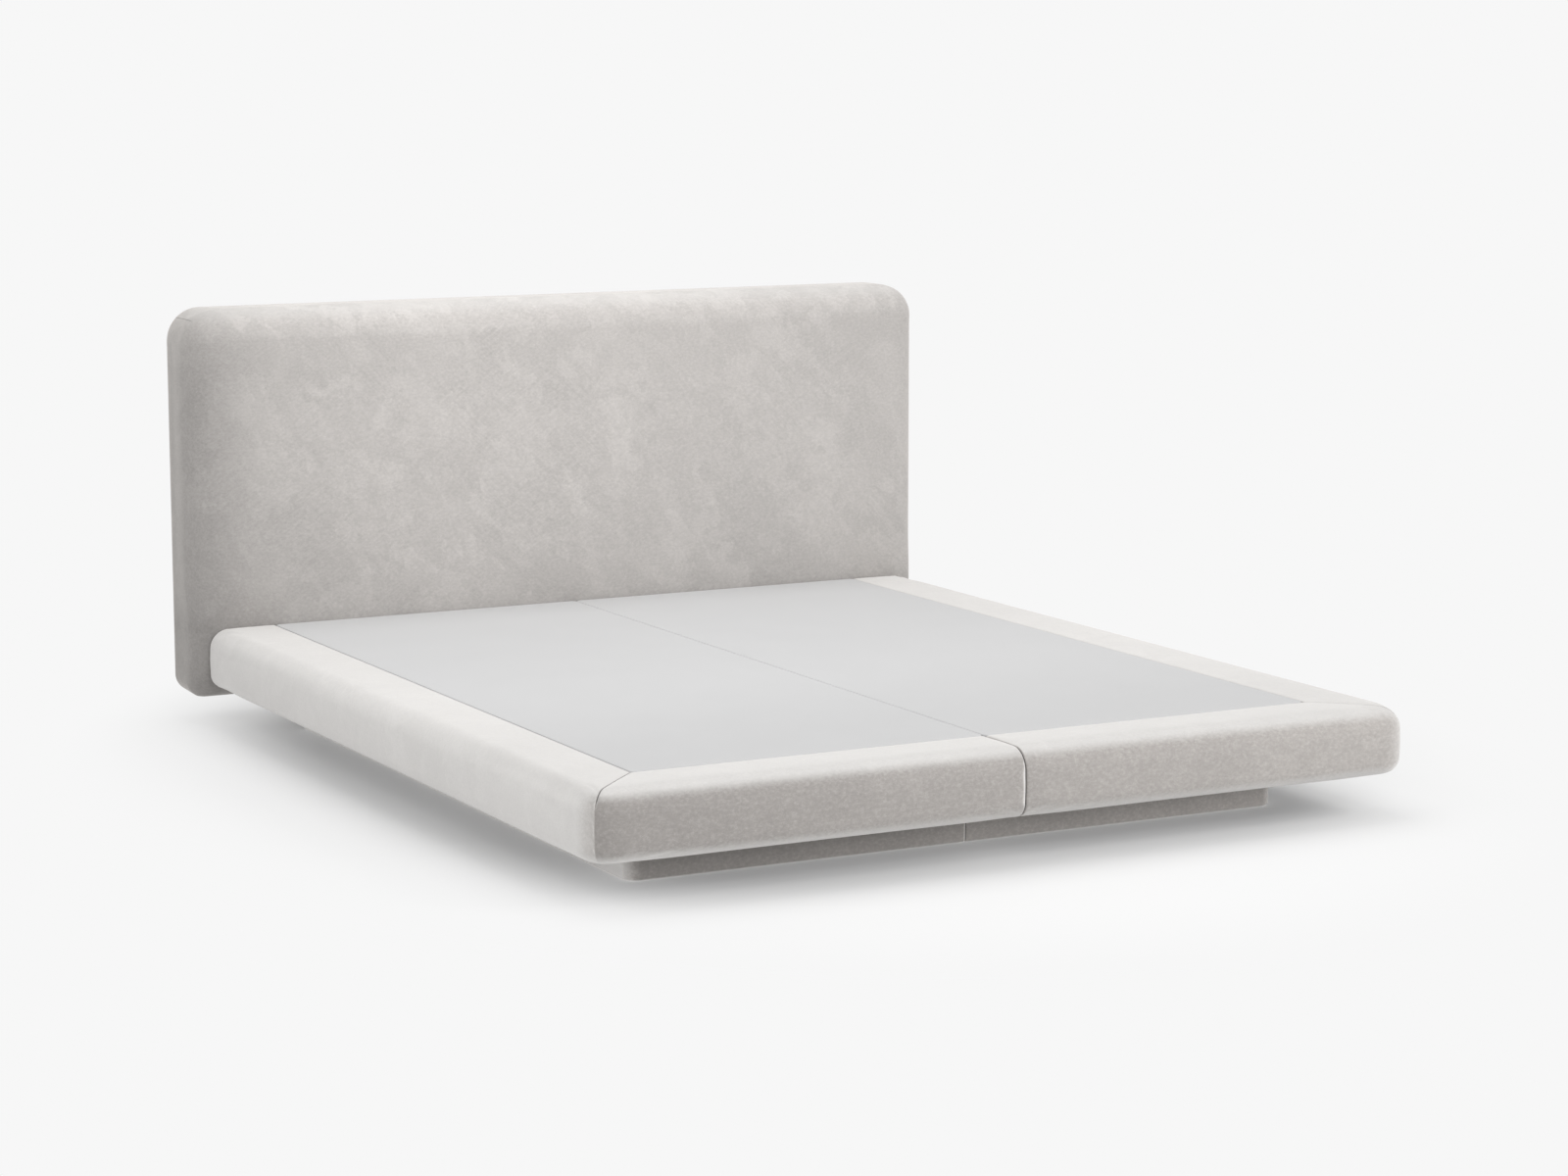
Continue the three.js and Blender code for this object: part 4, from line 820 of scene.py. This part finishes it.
pad_rings.append(at_depth(last_ring, pad_high[2]))
for side, sign in SIDES:
    points, faces = slab_cover(
        np.array(pad_rings), columns, rows_v, half_arc, pad_high[2], lambda p, s=sign: p * [s, 1, 1]
    )
    cover = new_piece(f"{side}_deck_cover", points, faces, [deck_cloth])
    # Painted shade: the cloth darkens towards the foot.
    set_attribute(cover, "painted_shading", 1 - 0.11 * smooth((-0.1 - points[:, 1]) / 0.9))
    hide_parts(f"{side}_deck_pad")


# Border covers: firm foam on the projecting edge of the base board, under velvet that is sewn at
# the mitre, rolled over at the split and at the headboard, and stapled below the board.
BORDER, HEIGHT = 169.7 * MM, 145 * MM
BOARD_TOP, BOARD_EDGE = 17.6 * MM, 45 * MM
ROUND_ABOVE, ROUND_BELOW, DECK_ROLL = 48 * MM, 36 * MM, 5.7 * MM
CROWN, SWELL_LIMIT = 0.6 * MM, 2 * MM
SIDE_SHADING = 1.03
border_section = np.concatenate(
    [
        line((BORDER, BOARD_TOP), (BOARD_EDGE, BOARD_TOP), 6, (0, 0)),
        line((BOARD_EDGE, BOARD_TOP), (BOARD_EDGE, 0), 3, (0, 0)),
        line((BOARD_EDGE, 0), (38 * MM, 0), 2, (0, 0)),
        quarter((38 * MM, ROUND_BELOW), ROUND_BELOW, 270, 180, 12),
        [(inset * MM, z * MM) for inset, z in ((1.6, 46), (1.2, 56), (1, 66.5), (1.2, 77), (1.6, 87))],
        quarter((50 * MM, 97 * MM), ROUND_ABOVE, 180, 90, 18),
        [(d * MM, HEIGHT + CROWN * math.sin(math.pi * (d - 50) / 114)) for d in range(60, 161, 10)],
        quarter((164 * MM, 139 * MM), DECK_ROLL, 90, 0, 6),
        line((BORDER, 139 * MM), (BORDER, BOARD_TOP), 6, (1, 0)),
    ]
)
border_give = np.ones(len(border_section))
border_give[:9] = 0  # over the base board and down its edge
border_give[-5:] = 0  # against the deck
border_give[-12:-5] = 0.4  # the small roll beside the deck
inset, height = border_section.T
border_ends = (5.5 + 4 * smooth((inset / BORDER - 0.45) / 0.55) * (height > 0.9 * HEIGHT)) * MM
border_ease = np.where(
    height > HEIGHT / 2,
    smooth((BORDER - 6 * MM - inset) / (110 * MM)),
    smooth((44 * MM - inset) / (30 * MM)),
)
foot_low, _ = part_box("right_foot_border_pad")
flank_low, flank_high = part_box("right_side_border_pad")
for side, sign in SIDES:
    cover, on_foot, held = mitred_cover(
        f"{side}_border_cover",
        border_section,
        border_give,
        corner=(flank_high[0], foot_low[1], flank_low[2]),
        radius=74 * MM,
        lengths=(flank_high[0] - foot_low[0], flank_high[1] - foot_low[1]),
        rolls=(border_ends, 6 * MM),
        square=210 * MM,
        step=9 * MM,
        seam_depth=2.2 * MM,
        side=sign,
    )
    limit = SWELL_LIMIT * np.tile(border_ease, len(held) // len(border_ease))
    moves = swell(cover, held, limit) if side == "left" else moves * (-1, 1, 1)
    shift(cover, moves)
    # Painted sheen and shade: pale tops, lower rounds and corner, a dark upright foot face; each half's
    # corner pales from its own bearings.
    turned_bearings = ((40, 45), (34, 55)) if side == "left" else ((0, 70), (0, 70))
    paint_sheen_and_shading(cover, on_foot, sign, 1.0, flank_shading=SIDE_SHADING, turned=turned_bearings, split_highlight=0.1)
    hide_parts(f"{side}_foot_border_pad", f"{side}_side_border_pad")


# Headboard cover: one skin of velvet over the front foam and the edge foam, darted at the upper
# corners, drawn over the rear edge and tacked to the frame behind the back panel.
WIDE, TALL, THICK = 2000 * MM, 939 * MM, 200 * MM
ROUND, REAR_ROUND = 68 * MM, 40 * MM
SWELL = 4 * MM
pad_low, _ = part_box("headboard_front_pad")
FRONT_Y, BASE_Z = pad_low[1] + SWELL, pad_low[2] - 2 * MM
board_box = ((-WIDE / 2, WIDE / 2), (0, TALL))
half_arc = 16
share = np.linspace(-1, 1, 2 * half_arc + 1)
arc = np.pi / 4 * (1 + np.sign(share) * np.abs(share) ** 1.7)
counts = (150, 60)
angle = np.radians(np.linspace(0, 90, 15))
profile = [
    (70 * MM, 93 * MM),
    (70 * MM, 150 * MM),
    (70 * MM, THICK - 2 * MM),
    (69 * MM, THICK - 0.4 * MM),
    (66 * MM, THICK),
    (53 * MM, THICK),
    *[(REAR_ROUND * (1 - math.sin(a)), THICK - REAR_ROUND * (1 - math.cos(a))) for a in angle],
    *[(0, THICK - REAR_ROUND + share * (REAR_ROUND + ROUND - THICK)) for share in np.linspace(0, 1, 8)[1:-1]],
    *[(ROUND * (1 - math.cos(a)), ROUND * (1 - math.sin(a))) for a in angle],
]


def corner_radii(inset, depth):
    """Radii of the four corners before a ring is drawn in: 82 mm above. The lower ones shrink from 42 mm at
    the rear round to 34 mm at the front one, over which the finished radius grows to 64 mm at the face."""
    low = 34 * MM + 8 * MM * min(max(depth - ROUND, 0) / (THICK - REAR_ROUND - ROUND), 1)
    low += inset + 30 * MM * (1 - depth / ROUND) if depth < ROUND else 0
    return [82 * MM, 82 * MM, low, low]


rings = [
    at_depth(rounded_ring(board_box, corner_radii(inset, depth), 4 * MM, inset, arc, counts), depth)
    for inset, depth in profile
]
last_ring, columns, rows_v = square_ring(board_box, 130 * MM, half_arc, 60 * MM, counts)
front = at_depth(last_ring, 0)
for share in np.linspace(0, 1, 7)[1:]:
    rings.append(rings[len(profile) - 1] * (1 - share) + front * share)
rings = np.array(rings)


def headboard_place(p):
    """The face swells forward by a few millimetres, smoothly from each edge, and above the platform only."""
    u, v, depth = p.T
    fullness = smooth((WIDE / 2 - 70 * MM - np.abs(u)) / (320 * MM))
    fullness *= smooth((TALL - 70 * MM - v) / (300 * MM)) * smooth((v - 184 * MM) / (200 * MM))
    fullness *= depth < 1e-6
    return np.stack([u, FRONT_Y + depth - SWELL * fullness, BASE_Z + v], -1)


points, faces = slab_cover(rings, columns, rows_v, half_arc, 0.0, headboard_place)
headboard = new_piece("headboard_cover", points, faces, [velvet_headboard], sharp=60)
x, y, z = points.T
tacked_y, platform_top = FRONT_Y + THICK - 60 * MM, 252 * MM
held = (y > tacked_y) | (z < platform_top)
eased = smooth((tacked_y - y) / (60 * MM)) * smooth((z - platform_top) / (100 * MM))
shift(headboard, swell(headboard, held, SWELL_LIMIT * eased))
from_top = TALL - (z - BASE_Z)
from_dart = np.abs(WIDE / 2 - np.abs(x) - from_top) / math.sqrt(2)
dart = 0.7 * np.exp(-((from_dart / (1.1 * MM)) ** 2)) * smooth((y - FRONT_Y - 46 * MM) / (22 * MM))
set_attribute(headboard, "seam_and_gap_shade", dart)
# Painted sheen on the top round. Painted light and shade over the face: darker at the left end, slightly
# darker towards the right and low down just above the platform where shade falls, with a painted highlight
# along the left edge.
rise, bearing = facing(headboard, -1)
set_attribute(headboard, "painted_sheen", smooth((rise - 25) / 50))
left_end = np.interp(
    x / MM, [-1000, -960, -930, -860, -780, -600, -300], [0.645, 0.64, 0.69, 0.81, 0.88, 0.94, 0.985]
)
left_end = 1 - (1 - left_end) * (0.55 + 0.45 * smooth(from_top / (160 * MM)))
left_end *= 1 + 0.6 * smooth((bearing - 88) / 20) * smooth((-x - 930 * MM) / (50 * MM))
right_end = np.interp(x / MM, [0, 400, 900, 1000], [1.0, 0.965, 0.94, 0.98])
above = z - 240 * MM
low_end = np.interp(above / MM, [-60, 0, 16, 50, 110, 420], [0.83, 0.78, 0.85, 0.915, 0.955, 0.985])
low_left = smooth((-x - 450 * MM) / (400 * MM)) * smooth((380 * MM - above) / (350 * MM))
low_end = low_end * (1 - 0.03 * low_left)
set_attribute(headboard, "painted_shading", left_end * right_end * low_end)
edge_pads = [f"headboard_{edge}_edge_pad" for edge in ("top", "right", "bottom", "left")]
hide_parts("headboard_front_pad", *edge_pads)


# Back panel: the same velvet over a thin board, pressed on last to hide the tacks, with a small
# roll round its edge.
back_low, back_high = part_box("headboard_back_cover")
back_box = ((back_low[0], back_high[0]), (0, back_high[2] - back_low[2]))
half_arc = 4
arc = np.linspace(0, np.pi / 2, 2 * half_arc + 1)
counts = (60, 26)
roll_angle = np.radians(np.linspace(0, 90, 6))
depth = back_high[1] - back_low[1]
BACK_ROLL, BACK_RADII = 3 * MM, [11.7 * MM, 11.7 * MM, 4 * MM, 4 * MM]
back_profile = [
    (0, 0),
    *[(BACK_ROLL * (1 - math.cos(a)), depth - BACK_ROLL * (1 - math.sin(a))) for a in roll_angle],
    (12 * MM, depth),
]
rings = [
    at_depth(rounded_ring(back_box, BACK_RADII, 4 * MM, inset, arc, counts), z) for inset, z in back_profile
]
last_ring, columns, rows_v = square_ring(back_box, 30 * MM, half_arc, 30 * MM, counts)
rings.append(at_depth(last_ring, depth))


def back_place(p):
    """Stands the panel up behind the headboard: its depth runs along Y and its height along Z."""
    return np.stack([p[:, 0], back_low[1] + p[:, 2], back_low[2] + p[:, 1]], -1)


points, faces = slab_cover(np.array(rings), columns, rows_v, half_arc, depth, back_place)
back_panel = new_piece("headboard_back_panel", points, faces, [velvet_along_x])
set_attribute(back_panel, "seam_and_gap_shade", np.zeros(len(points)))
set_attribute(back_panel, "painted_shading", np.ones(len(points)))
set_attribute(back_panel, "painted_sheen", np.full(len(points), 0.3))
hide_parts("headboard_back_cover")


# Studio: an even dome and four soft lights, above the bed, before its right foot corner, beyond its
# left side and before its foot. The pale floor glows a little, which keeps the shadow soft, and runs
# out into the background.
BACKGROUND = (0.93, 0.93, 0.93, 1)
world = bpy.data.worlds.new("studio")
world.use_nodes = True
graph = world.node_tree
dome = graph.nodes["Background"]
dome.inputs["Color"].default_value = (1, 1, 1, 1)
dome.inputs["Strength"].default_value = 0.58
seen = node(graph, "ShaderNodeBackground", {"Color": BACKGROUND})
path = node(graph, "ShaderNodeLightPath")
mirrored = maths(graph, "MAXIMUM", path.outputs["Is Glossy Ray"], path.outputs["Is Transmission Ray"])
shown = maths(graph, "MAXIMUM", path.outputs["Is Camera Ray"], mirrored)
choice = node(graph, "ShaderNodeMixShader", {0: shown, 1: dome.outputs[0], 2: seen.outputs[0]})
graph.links.new(choice.outputs[0], graph.nodes["World Output"].inputs["Surface"])
bpy.context.scene.world = world


def softbox(name, place, aim, size, power):
    """A square area light of a given size in metres, turned from its place towards an aim."""
    data = bpy.data.lights.new(name, "AREA")
    data.size = size
    data.energy = power
    lamp = bpy.data.objects.new(name, data)
    lamp.location = place
    lamp.rotation_euler = (Vector(aim) - Vector(place)).to_track_quat("-Z", "Y").to_euler()
    bpy.context.scene.collection.objects.link(lamp)


softbox("light_above", (0, 0.3, 3.5), (0, 0.2, 0), 2.8, 50)
softbox("light_right", (2.8, -4.0, 2.9), (0.3, -1.0, 0.1), 1.8, 84)
softbox("light_left", (-4.2, -0.6, 3.0), (-0.6, -0.2, 0.1), 2.4, 47)
softbox("light_front", (-1.2, -5.0, 2.0), (-0.2, -1.2, 0.1), 1.7, 76)

floor_mesh = bpy.data.meshes.new("floor")
floor_mesh.from_pydata([(-30, -30, 0), (30, -30, 0), (30, 30, 0), (-30, 30, 0)], [], [(0, 1, 2, 3)])
floor = bpy.data.objects.new("floor", floor_mesh)
bpy.context.scene.collection.objects.link(floor)
floor_material, graph, shader = tree("floor", 0.9, 0.0)
shader.inputs["Base Color"].default_value = (0.59, 0.59, 0.59, 1)
shader.inputs["Emission Color"].default_value = BACKGROUND
shader.inputs["Emission Strength"].default_value = 0.205
place = node(graph, "ShaderNodeTexCoord").outputs["Object"]
oval = node(
    graph, "ShaderNodeVectorMath", {0: place, 1: (1, 0.8, 0), 2: (-0.08, 0, 0)}, operation="MULTIPLY_ADD"
).outputs[0]
away = node(graph, "ShaderNodeVectorMath", {0: oval}, operation="LENGTH").outputs["Value"]
fade = node(
    graph,
    "ShaderNodeMapRange",
    {"Value": away, "From Min": 1.0, "From Max": 1.65},
    interpolation_type="SMOOTHSTEP",
)
glow = node(graph, "ShaderNodeEmission", {"Color": BACKGROUND})
mixed = node(graph, "ShaderNodeMixShader", {0: fade.outputs[0], 1: shader.outputs[0], 2: glow.outputs[0]})
graph.links.new(mixed.outputs[0], graph.nodes["Material Output"].inputs["Surface"])
floor_mesh.materials.append(floor_material)
floor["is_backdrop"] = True

bpy.context.scene.view_settings.view_transform = "Standard"

low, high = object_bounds()
